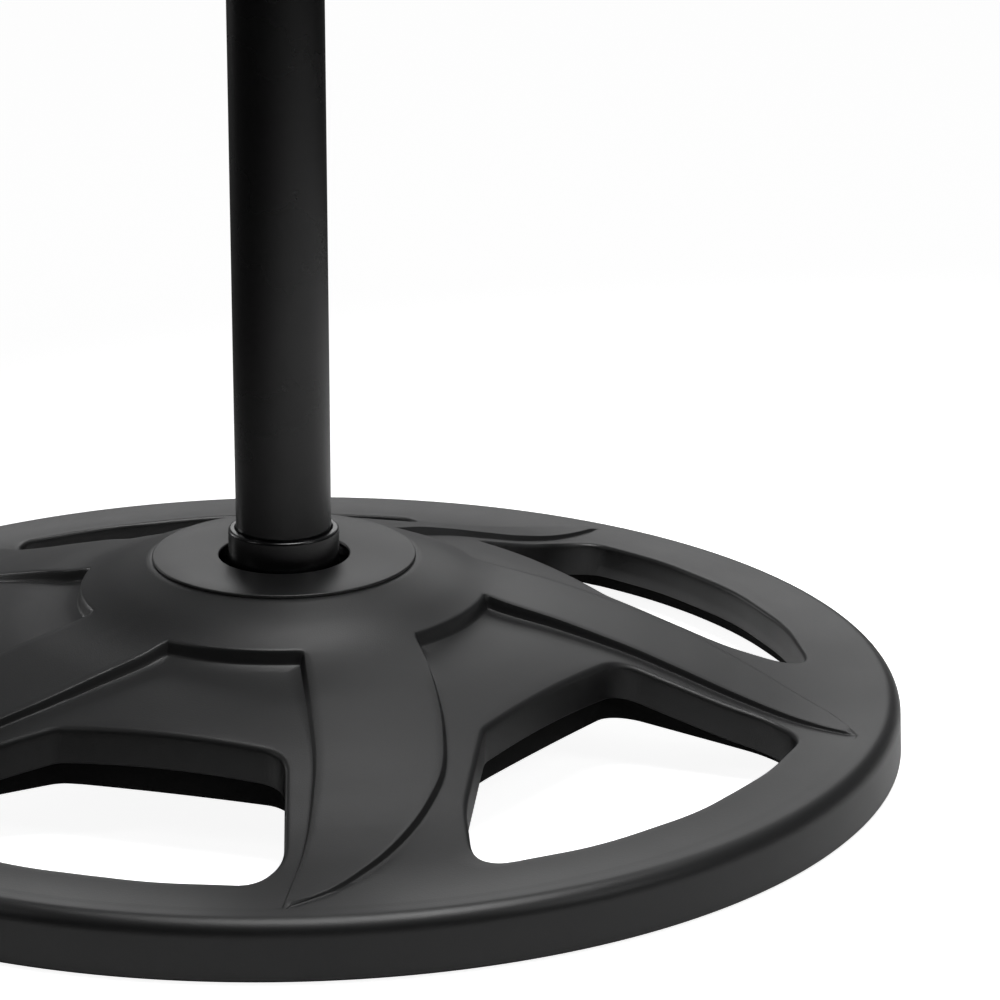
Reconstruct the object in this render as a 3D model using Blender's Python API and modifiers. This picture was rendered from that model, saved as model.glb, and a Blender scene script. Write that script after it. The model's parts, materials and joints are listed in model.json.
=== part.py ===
"""Free-standing reflex speed-bag stand: a weighted round base with five hand windows, a telescoping
pole, a coil spring and a striking ball. Metres, +Z up, origin on the floor under the pole's axis."""
import math

import bmesh
import bpy
from mathutils import Matrix, Vector

# ---------------------------------------------------------------- driving dimensions
BASE_R = 0.290            # outer radius of the moulded base
RIM_H = 0.028             # height of the rim above the floor
DOME_R = 0.096            # where the dome meets the blades and pockets
DOME_EDGE_H = 0.076       # height of the dome's edge
HUB_H = 0.0899            # flat land at the top of the dome, under the hub cap
RIM_FLAT_R = 0.256        # outside this radius the top of the rim is flat
STEP_H = 0.0058           # how far the blades stand over the pockets at the dome
SHELL_T = 0.0040          # wall of the moulded top shell
TRAY_T = 0.0030           # wall of the bottom tray
TRAY_DISH_H = 0.0290      # how far the tray rises in the middle
WALL_DEPTH = 0.0170       # depth of the shell's own wall round each window
SPOKES = 5
RIM_EDGE_R = 0.0075       # rounding of the rim's upper edge

FOOT_H = 0.0027           # rubber feet
FOOT_R = 0.0090
RIM_LIFT = 0.0015         # the rim's lower edge clears the floor by this

CAP_T = 0.0022            # hub cap
CAP_OPENING = 0.0046      # room between the cap's hole and the socket
CAP_SKIRT_L = 0.0050      # the cap's skirt reaches down into the recess by this
CAP_SKIRT_T = 0.0018
CAP_LIP = 0.0070          # the cap lies on the dome by this much round the recess
RECESS_DEPTH = 0.0115     # from the dome's land down to the flange's seat
RECESS_ROOM = 0.0046      # room round the flange in the recess
SOCKET_T = 0.00335        # steel wall of the socket round the pole
SOCKET_TOP = 0.1045
SOCKET_L = 0.0225         # how far the socket reaches down through the boss
SOCKET_FLOOR_T = 0.0040
FLANGE_T = 0.0035
BOLT_R = 0.0030
BOLT_ROOM = 0.0141        # from the socket's side to the middle of the bolts
BOLT_HEAD_R = 0.0055
BOLT_HEAD_H = 0.0038
FLANGE_EDGE = 0.0100      # from the middle of the bolts to the flange's edge
FLANGE_NUT_R = 0.0058
FLANGE_NUT_H = 0.0050
HUB_PLATE_T = 0.0030
BOSS_T = 0.0050           # plastic under the flange

LOWER_POLE_R = 0.02225
POLE_T = 0.0015
BUSH_T = 0.0010           # wall of the guide bush between the poles
LOWER_POLE_TOP = 0.860
UPPER_POLE_TOP = 1.220
UPPER_POLE_L = 0.660
BUSH_L = 0.050
COLLAR_T = 0.0050
COLLAR_DROP = 0.038       # how far the clamp collar reaches down over the lower pole
COLLAR_RISE = 0.026       # and up round the upper pole
KNOB_R = 0.0200
KNOB_L = 0.0180
SCREW_R = 0.0038

SPRING_R = 0.0260         # to the middle of the wire
WIRE_R = 0.0030
SPRING_L = 0.122
SPRING_TURNS = 9
SEAT_EDGE = 0.0010        # the seats reach past the coil by this
SEAT_T = 0.0060
SEAT_PLUG_L = 0.0300      # the lower seat's plug inside the upper pole
PIN_R = 0.0030
SEAT_NOSE_L = 0.0190
STUD_R = 0.0050
BALL_R = 0.110
BALL_T = 0.0035
BLADDER_T = 0.0016
LINING = 0.0045           # slack between the bladder and the cover, taken up when it is pumped hard
PLATE_R = 0.0340
PLATE_T = 0.0065
DISC_R = 0.0270

GAP = 0.0003              # clearance between pieces that touch
RUN = 0.0004              # clearance of a sliding fit
BASE_STEPS = 40           # sides of the base's round pieces
STEPS = 24                # sides of the other turned pieces

# ---------------------------------------------------------------- worked out from them
SOCKET_R = LOWER_POLE_R + GAP + SOCKET_T
BOLT_CIRCLE_R = SOCKET_R + BOLT_ROOM
FLANGE_R = BOLT_CIRCLE_R + FLANGE_EDGE
RECESS_R = FLANGE_R + RECESS_ROOM
CAP_R = RECESS_R + CAP_LIP
CAP_HOLE_R = SOCKET_R + CAP_OPENING
UPPER_POLE_R = LOWER_POLE_R - POLE_T - GAP - BUSH_T - RUN
BOSS_Z = HUB_H - RECESS_DEPTH         # flat floor of the recess that holds the socket's flange
FLANGE_Z = BOSS_Z + GAP
SOCKET_FOOT_Z = BOSS_Z - SOCKET_L     # underside of the socket's closed foot
SOCKET_FLOOR_Z = SOCKET_FOOT_Z + SOCKET_FLOOR_T
POLE_FOOT_Z = SOCKET_FLOOR_Z + GAP
TRAY_R = BASE_R - SHELL_T - GAP
TRAY_FOOT_Z = FOOT_H + GAP
FLAT_FOOT_R = BASE_R * 0.893          # outside this the tray's underside is flat
TAB_R = BASE_R * 0.638                # the tray's screws stand on this circle
COLLAR_TOP = LOWER_POLE_TOP + COLLAR_RISE
KNOB_Z = LOWER_POLE_TOP + COLLAR_RISE * 0.55
SEAT_R = SPRING_R + WIRE_R + SEAT_EDGE
SEAT_Z = UPPER_POLE_TOP + GAP
SPRING_Z = SEAT_Z + SEAT_T + GAP
TOP_SEAT_Z = SPRING_Z + SPRING_L + GAP
STUD_NUT_Z = TOP_SEAT_Z + SEAT_T + GAP
NUT_H = 0.0080
PLATE_Z = STUD_NUT_Z + NUT_H + GAP
MOUTH_R = 0.0220                      # the hole in the underside of the ball
BALL_Z = PLATE_Z + PLATE_T + GAP + math.sqrt(BALL_R ** 2 - MOUTH_R ** 2)
TURN = 2 * math.pi / SPOKES

# ---------------------------------------------------------------- collections and materials
for old in list(bpy.data.objects):
    bpy.data.objects.remove(old, do_unlink=True)
PARTS = bpy.data.collections.new("reflex_bag_stand")
CUTTERS = bpy.data.collections.new("cutters")
bpy.context.scene.collection.children.link(PARTS)
bpy.context.scene.collection.children.link(CUTTERS)


def material(name, colour, roughness, metallic=0.0):
    """A plain Principled material."""
    m = bpy.data.materials.new(name)
    m.use_nodes = True
    shader = m.node_tree.nodes["Principled BSDF"]
    shader.inputs["Base Color"].default_value = (*colour, 1.0)
    shader.inputs["Roughness"].default_value = roughness
    shader.inputs["Metallic"].default_value = metallic
    m.diffuse_color = (*colour, 1.0)
    return m


BLACK_PLASTIC = material("black_plastic", (0.020, 0.020, 0.021), 0.45)
DARK_PLASTIC = material("dark_plastic", (0.012, 0.012, 0.012), 0.60)
BLACK_STEEL = material("black_steel", (0.012, 0.012, 0.013), 0.30, 0.3)
ZINC = material("zinc_steel", (0.62, 0.63, 0.65), 0.35, 1.0)
IRON = material("cast_iron", (0.10, 0.10, 0.10), 0.70, 0.8)
BRASS = material("brass", (0.78, 0.58, 0.25), 0.35, 1.0)
RUBBER = material("rubber", (0.025, 0.025, 0.025), 0.85)
LEATHER = material("leather", (0.030, 0.028, 0.027), 0.50)
BLADDER = material("bladder_rubber", (0.20, 0.05, 0.04), 0.70)


# ---------------------------------------------------------------- shape helpers
def add(name, mesh, mat, where=PARTS, at=(0, 0, 0)):
    """Links a new object for a mesh, smooth but for its sharp edges."""
    o = bpy.data.objects.new(name, mesh)
    where.objects.link(o)
    o.location = at
    mesh.materials.append(mat)
    if where is CUTTERS:
        o.hide_render = True
        o.display_type = "WIRE"
    return o


def turned(name, profile, mat, where=PARTS, steps=STEPS, at=(0, 0, 0), closed=False):
    """A profile of (radius, height) points, given down its outer side, spun about Z."""
    mesh = bpy.data.meshes.new(name)
    edges = [(i, i + 1) for i in range(len(profile) - 1)]
    if closed:
        edges.append((len(profile) - 1, 0))
    mesh.from_pydata([(r, 0.0, z) for r, z in profile], edges, [])
    o = add(name, mesh, mat, where, at)
    screw = o.modifiers.new("turn", "SCREW")
    screw.steps = steps
    screw.render_steps = steps
    screw.use_merge_vertices = True
    screw.merge_threshold = 0.00001
    screw.use_smooth_shade = True
    return o


def ring(name, inner, outer, low, high, mat, where=PARTS, steps=STEPS, at=(0, 0, 0)):
    """A plain washer shape."""
    profile = [(outer, high), (outer, low), (inner, low), (inner, high)]
    return turned(name, profile, mat, where, steps, at, closed=True)


def nut(name, bore, outer, low, high, at=(0, 0, 0)):
    """A hexagon nut, whose six-sided bore clears the thread's radius."""
    return ring(name, bore / math.cos(math.pi / 6), outer, low, high, ZINC, steps=6, at=at)


def disc(name, radius, low, high, mat, where=PARTS, steps=STEPS, at=(0, 0, 0)):
    """A plain cylinder on the Z axis."""
    return turned(name, [(0.0, high), (radius, high), (radius, low), (0.0, low)], mat, where, steps, at)


def rod(name, radius, start, end, mat, where=PARTS, sides=16):
    """A cylinder between two points."""
    start, end = Vector(start), Vector(end)
    span = end - start
    mesh = bpy.data.meshes.new(name)
    bm = bmesh.new()
    bmesh.ops.create_cone(bm, cap_ends=True, segments=sides, radius1=radius, radius2=radius,
                          depth=span.length)
    turn = span.to_track_quat("Z", "Y").to_matrix().to_4x4()
    bmesh.ops.transform(bm, matrix=Matrix.Translation((start + end) / 2) @ turn, verts=bm.verts)
    bm.to_mesh(mesh)
    bm.free()
    return add(name, mesh, mat, where)


def prism(name, outlines, low, high, mat, where=CUTTERS):
    """Flat outlines, extruded between two heights: a 2D curve made into a mesh."""
    curve = bpy.data.curves.new(name + "_outline", "CURVE")
    curve.dimensions = "2D"
    curve.fill_mode = "BOTH"
    curve.extrude = (high - low) / 2
    for points in outlines:
        spline = curve.splines.new("POLY")
        spline.points.add(len(points) - 1)
        for point, (x, y) in zip(spline.points, points):
            point.co = (x, y, 0.0, 1.0)
        spline.use_cyclic_u = True
    guide = bpy.data.objects.new(name + "_outline", curve)
    CUTTERS.objects.link(guide)
    guide.location.z = (low + high) / 2
    bpy.context.view_layer.update()
    mesh = bpy.data.meshes.new_from_object(guide.evaluated_get(bpy.context.evaluated_depsgraph_get()))
    bm = bmesh.new()
    bm.from_mesh(mesh)
    bmesh.ops.remove_doubles(bm, verts=bm.verts, dist=0.00001)
    bm.to_mesh(mesh)
    bm.free()
    mesh.materials.clear()
    o = add(name, mesh, mat, where)
    o.matrix_world = guide.matrix_world.copy()
    bpy.data.objects.remove(guide, do_unlink=True)
    return o


def boolean(target, tool, operation="DIFFERENCE"):
    """One Boolean modifier with the exact solver."""
    cut = target.modifiers.new(tool.name, "BOOLEAN")
    cut.operation = operation
    cut.solver = "EXACT"
    cut.object = tool


def polar(radius, degrees):
    """A point from a radius and an angle."""
    return (radius * math.cos(math.radians(degrees)), radius * math.sin(math.radians(degrees)))


def spun(points, k):
    """Points turned by k spokes."""
    c, s = math.cos(k * TURN), math.sin(k * TURN)
    return [(x * c - y * s, x * s + y * c) for x, y in points]


def rounded(corners, steps=3):
    """A closed outline through (x, y, radius) corners, each one rounded by an arc of its radius."""
    outline = []
    count = len(corners)
    for i, (x, y, radius) in enumerate(corners):
        here = Vector((x, y))
        back = Vector(corners[i - 1][:2]) - here
        ahead = Vector(corners[(i + 1) % count][:2]) - here
        half = back.angle(ahead) / 2
        reach = min(radius / math.tan(half), back.length * 0.48, ahead.length * 0.48)
        start, end = here + back.normalized() * reach, here + ahead.normalized() * reach
        for k in range(steps + 1):
            t = k / steps
            point = start.lerp(here, t).lerp(here.lerp(end, t), t)
            outline.append((point.x, point.y))
    return outline


def grown(points, by):
    """An outline given counter-clockwise, moved outwards by a distance."""
    result = []
    count = len(points)
    for i, (x, y) in enumerate(points):
        ax, ay = points[i - 1]
        bx, by_ = points[(i + 1) % count]
        tangent = Vector((bx - ax, by_ - ay)).normalized()
        result.append((x + tangent.y * by, y - tangent.x * by))
    return result


def lerp_profile(points, radius):
    """Height of a profile of (radius, height) points at a radius."""
    for (r0, z0), (r1, z1) in zip(points, points[1:]):
        if radius <= r1:
            return z0 + (z1 - z0) * (radius - r0) / (r1 - r0)
    return points[-1][1]


# ---------------------------------------------------------------- the base's heights
# The crown falls from the dome's edge to the flat of the rim. Shares of the way along and of the fall.
CROWN = [(0.00, 1.000), (0.31, 0.760), (0.58, 0.420), (0.80, 0.155), (1.00, 0.000)]


def crown_height(share):
    """Height of the blades over the floor, at a share of the way from the dome to the rim's flat."""
    return RIM_H + (DOME_EDGE_H - RIM_H) * lerp_profile(CROWN, share)


BLADE_TOP = [(DOME_R + (RIM_FLAT_R - DOME_R) * s, crown_height(s)) for s, _ in CROWN]
POCKET_TOP = [(r, z - STEP_H * (1 - (r - DOME_R) / (RIM_FLAT_R - DOME_R))) for r, z in BLADE_TOP]


def rim_edge(radius, top, rounding):
    """The rounded upper edge of the rim, from the top to the side."""
    turns = [math.radians(a) for a in (90, 60, 30, 0)]
    return [(radius - rounding + rounding * math.cos(a), top - rounding + rounding * math.sin(a))
            for a in turns]


# ---------------------------------------------------------------- outlines of the windows and blades
def at(share, degrees, radius):
    """A corner at a share of the base's radius, rounded by a share of it."""
    x, y = polar(BASE_R * share, degrees)
    return (x, y, BASE_R * radius)


WINDOW = rounded([
    at(0.556, 305.7, 0.050), at(0.710, 294.8, 0.300), at(0.862, 291.2, 0.075), at(0.872, 318.0, 0.90),
    at(0.866, 341.5, 0.060), at(0.800, 344.4, 0.120), at(0.556, 344.6, 0.055)])
BLADE_LEFT = [(0.330, 277.3), (0.573, 277.0), (0.737, 275.2), (0.945, 272.3)]
BLADE_RIGHT = [(0.843, 280.3), (0.770, 285.5), (0.700, 290.3), (0.644, 294.0), (0.553, 298.5),
               (0.454, 303.5), (0.330, 311.0)]
BLADE_ROOT = 0.300        # the blades start inside the dome, at this share of the base's radius
BLADE = [polar(BASE_R * BLADE_ROOT, 277.3)]
BLADE += [polar(BASE_R * r, a) for r, a in BLADE_LEFT + BLADE_RIGHT]
BLADE += [polar(BASE_R * BLADE_ROOT, 311.0)]


def windows(name, by, low=-0.02, high=0.12):
    """The five windows as one cutter, grown by a wall."""
    shape = grown(WINDOW, by) if by else WINDOW
    return prism(name, [spun(shape, k) for k in range(SPOKES)], low, high, DARK_PLASTIC)


window_cut = windows("window_cut", 0.0)
window_core = windows("window_core", SHELL_T)
tray_cut = windows("tray_cut", SHELL_T + GAP)
tray_core = windows("tray_core", SHELL_T + GAP + TRAY_T)

# ---------------------------------------------------------------- the base
RIM_DRAFT = 0.0006        # the rim's side leans in by this from its foot to its top
LAND_EDGE = 0.0012        # the dome's flat land reaches past the cap by this
HOLE_R = SOCKET_R + GAP + 0.0006
DOME_BEND = (DOME_R * 0.86, HUB_H - (HUB_H - DOME_EDGE_H) * 0.58)
shell_profile = [(HOLE_R, BOSS_Z), (RECESS_R, BOSS_Z), (RECESS_R, HUB_H), (CAP_R + LAND_EDGE, HUB_H)]
shell_profile += [DOME_BEND, (DOME_R, DOME_EDGE_H)] + POCKET_TOP
shell_profile += rim_edge(BASE_R - RIM_DRAFT, RIM_H, RIM_EDGE_R)[1:]
shell_profile += [(BASE_R, RIM_LIFT), (HOLE_R, RIM_LIFT)]
base_shell = turned("base_shell", shell_profile, BLACK_PLASTIC, steps=BASE_STEPS, closed=True)

blade_bodies = prism("blade_bodies", [spun(BLADE, k) for k in range(SPOKES)], 0.010, 0.120, BLACK_PLASTIC)
BLADE_SINK = 0.0003       # keeps the blades' roots just under the dome's own surface
BLADE_FOOT_Z = 0.0120     # inside the shell's walls, where the blades are cut away again
BLADE_END_R = BASE_R * 0.97
blade_solid = [(0.0, HUB_H), (CAP_R, HUB_H - BLADE_SINK), (DOME_BEND[0], DOME_BEND[1] - BLADE_SINK)]
blade_solid += [(r, z - BLADE_SINK) for r, z in BLADE_TOP]
blade_solid += [(BLADE_END_R, RIM_H - BLADE_SINK), (BLADE_END_R, BLADE_FOOT_Z), (0.0, BLADE_FOOT_Z)]
blade_limit = turned("blade_limit", blade_solid, BLACK_PLASTIC, steps=BASE_STEPS, where=CUTTERS)
boolean(blade_bodies, blade_limit, "INTERSECT")
boolean(base_shell, blade_bodies, "UNION")
boolean(base_shell, window_cut)

RIB_Z = BOSS_Z - BOSS_T   # underside of the boss that carries the flange
CAVITY_FOOT_Z = -0.0100   # the cuts from below start under the floor
cavity = [(0.0, RIB_Z), (RECESS_R + SHELL_T, RIB_Z), (CAP_R + SHELL_T, HUB_H - 0.0105)]
cavity += [(DOME_R - 0.002, POCKET_TOP[0][1] - SHELL_T)]
cavity += [(r, z - SHELL_T) for r, z in POCKET_TOP[1:]]
cavity += rim_edge(BASE_R - SHELL_T, RIM_H - SHELL_T, RIM_EDGE_R - SHELL_T)[1:]
cavity += [(BASE_R - SHELL_T, CAVITY_FOOT_Z), (0.0, CAVITY_FOOT_Z)]
shell_cavity = turned("shell_cavity", cavity, DARK_PLASTIC, steps=BASE_STEPS, where=CUTTERS)
boolean(shell_cavity, window_core)
boolean(base_shell, shell_cavity)
under = [(0.0, DOME_EDGE_H - WALL_DEPTH - STEP_H), (DOME_R, DOME_EDGE_H - WALL_DEPTH - STEP_H)]
under += [(r, z - WALL_DEPTH) for r, z in POCKET_TOP[1:]]
RIM_INSIDE_R = BASE_R - SHELL_T - 0.0040
under += [(RIM_INSIDE_R, RIM_H - WALL_DEPTH), (RIM_INSIDE_R, CAVITY_FOOT_Z), (0.0, CAVITY_FOOT_Z)]
shell_under = turned("shell_under", under, DARK_PLASTIC, steps=BASE_STEPS, where=CUTTERS)
boolean(base_shell, shell_under)

# The tray closes the shell from below: a dished floor with a short wall round each window.
TRAY_LOW = [(0.0, TRAY_DISH_H), (BASE_R * 0.35, TRAY_DISH_H), (BASE_R * 0.53, TRAY_DISH_H * 0.88),
            (BASE_R * 0.72, TRAY_DISH_H * 0.54), (BASE_R * 0.85, TRAY_DISH_H * 0.30),
            (FLAT_FOOT_R, TRAY_FOOT_Z), (TRAY_R, TRAY_FOOT_Z)]
WALL_LAP = 0.0050         # the tray's walls reach up behind the shell's walls by this
tray_high = [(r, z - WALL_DEPTH + WALL_LAP) for r, z in POCKET_TOP]
tray_profile = [(0.0, DOME_EDGE_H - STEP_H - WALL_DEPTH + WALL_LAP)] + tray_high
tray_profile += [(TRAY_R, RIM_H - WALL_DEPTH + WALL_LAP)] + TRAY_LOW[::-1]
base_tray = turned("base_tray", tray_profile, DARK_PLASTIC, steps=BASE_STEPS)
boolean(base_tray, tray_cut)
HOLLOW_TOP = HUB_H + 0.0100           # clear over everything
inner = [(0.0, HOLLOW_TOP), (TRAY_R - TRAY_T, HOLLOW_TOP), (TRAY_R - TRAY_T, TRAY_FOOT_Z + TRAY_T)]
inner += [(r, z + TRAY_T) for r, z in TRAY_LOW[-2::-1]]
tray_hollow = turned("tray_hollow", inner, DARK_PLASTIC, steps=BASE_STEPS, where=CUTTERS)
boolean(tray_hollow, tray_core)
boolean(base_tray, tray_hollow)

HUB_BALLAST_BORE = 0.0350
HUB_BALLAST_H = 0.0150
BALLAST_Z = TRAY_DISH_H + TRAY_T + GAP
ring("hub_ballast", HUB_BALLAST_BORE, BASE_R * 0.41, BALLAST_Z, BALLAST_Z + HUB_BALLAST_H, IRON)
RING_Z = TRAY_FOOT_Z + TRAY_T + GAP
ring("rim_ballast", BASE_R * 0.905, TRAY_R - TRAY_T - GAP, RING_Z, RIM_H - SHELL_T - RIM_EDGE_R * 0.2,
     IRON, steps=BASE_STEPS)

# Each spoke has a screw through the tray into a post under the shell, and a rubber foot.
SPOKE_ANGLES = [math.radians(285.5) + k * TURN for k in range(SPOKES)]
FOOT_ANGLES = [math.radians(282.0) + k * TURN for k in range(SPOKES)]
TAB_TRAY_Z = lerp_profile(TRAY_LOW, TAB_R)
POST_Z = TAB_TRAY_Z + TRAY_T + 0.0012
POST_TOP = lerp_profile(POCKET_TOP, TAB_R) - SHELL_T / 2
POST_R = 0.0050
PILOT_R = 0.0019          # hole that the screw's thread cuts into
CLEAR_R = 0.0022          # hole that the screw passes through
THREAD_R = 0.0016
HEAD_Z = TAB_TRAY_Z - 0.0012
HEAD_R = 0.0036
HEAD_T = 0.0022
screw_profile = [(0.0, POST_Z + 0.0105), (THREAD_R, POST_Z + 0.0105), (THREAD_R, HEAD_Z), (HEAD_R, HEAD_Z),
                 (HEAD_R, HEAD_Z - HEAD_T / 2), (HEAD_R * 0.55, HEAD_Z - HEAD_T), (0.0, HEAD_Z - HEAD_T)]
for n, angle in enumerate(SPOKE_ANGLES, 1):
    x, y = TAB_R * math.cos(angle), TAB_R * math.sin(angle)
    post = rod("post_%d" % n, POST_R, (x, y, POST_Z), (x, y, POST_TOP), BLACK_PLASTIC, CUTTERS, 10)
    boolean(base_shell, post, "UNION")
    pilot = rod("pilot_%d" % n, PILOT_R, (x, y, POST_Z - 0.002), (x, y, POST_Z + 0.012), BLACK_PLASTIC,
                CUTTERS, 8)
    boolean(base_shell, pilot)
    clear = rod("clear_%d" % n, CLEAR_R, (x, y, TAB_TRAY_Z - 0.01), (x, y, TAB_TRAY_Z + 0.01),
                BLACK_PLASTIC, CUTTERS, 8)
    boolean(base_tray, clear)
    turned("tray_screw_%d" % n, screw_profile, ZINC, steps=8, at=(x, y, 0.0))
foot_circle_r = (FLAT_FOOT_R + TRAY_R) / 2
foot = [(0.0, FOOT_H), (FOOT_R, FOOT_H), (FOOT_R, 0.0008), (FOOT_R - 0.0008, 0.0), (0.0, 0.0)]
for n, angle in enumerate(FOOT_ANGLES, 1):
    centre = (foot_circle_r * math.cos(angle), foot_circle_r * math.sin(angle), 0.0)
    turned("rubber_foot_%d" % n, foot, RUBBER, steps=14, at=centre)

# ---------------------------------------------------------------- the hub
ANCHOR_WAY = SCREW_R + 0.0007         # hole that the anchor bolt passes through
socket_bore = LOWER_POLE_R + GAP
socket = [(SOCKET_R, SOCKET_TOP - 0.0010), (SOCKET_R, FLANGE_Z + FLANGE_T), (FLANGE_R, FLANGE_Z + FLANGE_T),
          (FLANGE_R, FLANGE_Z), (SOCKET_R, FLANGE_Z), (SOCKET_R, SOCKET_FOOT_Z), (ANCHOR_WAY, SOCKET_FOOT_Z),
          (ANCHOR_WAY, SOCKET_FLOOR_Z), (socket_bore, SOCKET_FLOOR_Z), (socket_bore, SOCKET_TOP),
          (SOCKET_R - 0.0010, SOCKET_TOP)]
pole_socket = turned("pole_socket", socket, BLACK_STEEL, closed=True)
PLATE_HIGH = RIB_Z - GAP
reinforcement = ring("hub_plate", SOCKET_R + GAP, FLANGE_R, PLATE_HIGH - HUB_PLATE_T, PLATE_HIGH, ZINC)
CAP_LOW = HUB_H + GAP
skirt_r = RECESS_R - GAP
cap = [(CAP_HOLE_R, CAP_LOW + CAP_T), (CAP_R - 0.0010, CAP_LOW + CAP_T), (CAP_R, CAP_LOW + CAP_T - 0.0010),
       (CAP_R, CAP_LOW), (skirt_r, CAP_LOW), (skirt_r, HUB_H - CAP_SKIRT_L),
       (skirt_r - CAP_SKIRT_T, HUB_H - CAP_SKIRT_L), (skirt_r - CAP_SKIRT_T, CAP_LOW), (CAP_HOLE_R, CAP_LOW)]
turned("hub_cap", cap, BLACK_PLASTIC, closed=True)

NUT_TOP = PLATE_HIGH - HUB_PLATE_T - GAP
for n in range(1, 5):
    angle = math.radians(45 + 90 * n)
    x, y = BOLT_CIRCLE_R * math.cos(angle), BOLT_CIRCLE_R * math.sin(angle)
    hole = rod("bolt_hole_%d" % n, BOLT_R + GAP, (x, y, RIB_Z - 0.02), (x, y, FLANGE_Z + 0.02), ZINC,
               CUTTERS, 12)
    for holed in (pole_socket, base_shell, reinforcement):
        boolean(holed, hole)
    seat = FLANGE_Z + FLANGE_T + GAP
    bolt = [(0.0, seat + BOLT_HEAD_H), (BOLT_HEAD_R - 0.0005, seat + BOLT_HEAD_H),
            (BOLT_HEAD_R, seat + BOLT_HEAD_H - 0.0008), (BOLT_HEAD_R, seat), (BOLT_R, seat),
            (BOLT_R, NUT_TOP - FLANGE_NUT_H - 0.0020), (0.0, NUT_TOP - FLANGE_NUT_H - 0.0020)]
    turned("flange_bolt_%d" % n, bolt, ZINC, steps=10, at=(x, y, 0.0))
    nut("flange_nut_%d" % n, BOLT_R + GAP, FLANGE_NUT_R, NUT_TOP - FLANGE_NUT_H, NUT_TOP, at=(x, y, 0.0))

# ---------------------------------------------------------------- the lower pole and its anchor
bore = LOWER_POLE_R - POLE_T
ring("lower_pole", bore, LOWER_POLE_R, POLE_FOOT_Z, LOWER_POLE_TOP, BLACK_STEEL)
FOOT_PLUG_L = 0.0240
WASHER_T = 0.0015
WASHER_R = 0.0100
ANCHOR_HEAD_R = 0.0074
ANCHOR_HEAD_H = 0.0045
ring("pole_foot_plug", SCREW_R + RUN, bore - GAP, POLE_FOOT_Z + GAP, POLE_FOOT_Z + FOOT_PLUG_L, ZINC)
WASHER_TOP = SOCKET_FOOT_Z - GAP
ring("anchor_washer", SCREW_R + 0.0006, WASHER_R, WASHER_TOP - WASHER_T, WASHER_TOP, ZINC)
HEAD_TOP = WASHER_TOP - WASHER_T - GAP
ANCHOR_TOP = POLE_FOOT_Z + FOOT_PLUG_L - 0.0040
anchor = [(0.0, ANCHOR_TOP), (SCREW_R, ANCHOR_TOP), (SCREW_R, HEAD_TOP), (ANCHOR_HEAD_R, HEAD_TOP),
          (ANCHOR_HEAD_R, HEAD_TOP - ANCHOR_HEAD_H), (0.0, HEAD_TOP - ANCHOR_HEAD_H)]
turned("anchor_bolt", anchor, ZINC, steps=12)

# ---------------------------------------------------------------- the height clamp
slide_r = UPPER_POLE_R + RUN
bush = [(LOWER_POLE_R, LOWER_POLE_TOP + GAP + 0.0020), (LOWER_POLE_R, LOWER_POLE_TOP + GAP),
        (bore - GAP, LOWER_POLE_TOP + GAP), (bore - GAP, LOWER_POLE_TOP - BUSH_L),
        (slide_r, LOWER_POLE_TOP - BUSH_L), (slide_r, LOWER_POLE_TOP + GAP + 0.0020)]
turned("guide_bush", bush, DARK_PLASTIC, closed=True)
COLLAR_R = LOWER_POLE_R + GAP + COLLAR_T
COLLAR_FOOT_Z = LOWER_POLE_TOP - COLLAR_DROP
SHOULDER_Z = LOWER_POLE_TOP + GAP + 0.0020 + GAP
collar = [(COLLAR_R - 0.0025, COLLAR_TOP), (COLLAR_R - 0.0008, COLLAR_TOP - 0.0008),
          (COLLAR_R, COLLAR_TOP - 0.0030), (COLLAR_R, COLLAR_FOOT_Z + 0.0030),
          (COLLAR_R - 0.0020, COLLAR_FOOT_Z), (LOWER_POLE_R + GAP, COLLAR_FOOT_Z),
          (LOWER_POLE_R + GAP, SHOULDER_Z), (slide_r, SHOULDER_Z), (slide_r, COLLAR_TOP)]
clamp_collar = turned("clamp_collar", collar, BLACK_PLASTIC, closed=True)
BOSS_L = 0.0120           # the boss stands out from the collar by this
BOSS_R = 0.0095
BOSS_END = COLLAR_R + BOSS_L
INSERT_R = 0.0062
boss = rod("collar_boss", BOSS_R, (slide_r + 0.0025, 0, KNOB_Z), (BOSS_END, 0, KNOB_Z), BLACK_PLASTIC,
           CUTTERS)
boolean(clamp_collar, boss, "UNION")
insert_seat = rod("insert_seat", INSERT_R + GAP, (BOSS_END - BOSS_L, 0, KNOB_Z),
                  (BOSS_END + 0.01, 0, KNOB_Z), BRASS, CUTTERS)
boolean(clamp_collar, insert_seat)
screw_way = rod("screw_way", SCREW_R + RUN, (slide_r - 0.004, 0, KNOB_Z), (BOSS_END + 0.01, 0, KNOB_Z), BRASS,
                CUTTERS)
boolean(clamp_collar, screw_way)
insert = rod("clamp_insert", INSERT_R, (BOSS_END - BOSS_L + GAP, 0, KNOB_Z), (BOSS_END - GAP, 0, KNOB_Z),
             BRASS)
boolean(insert, screw_way)

KNOB_X = BOSS_END + 0.0020


def lobed(lobes, radius, depth, count=36):
    """A round outline with shallow finger grooves."""
    points = []
    for i in range(count):
        angle = 2 * math.pi * i / count
        reach = radius - depth * (0.5 - 0.5 * math.cos(lobes * angle)) ** 2
        points.append((reach * math.cos(angle), reach * math.sin(angle)))
    return points


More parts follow.
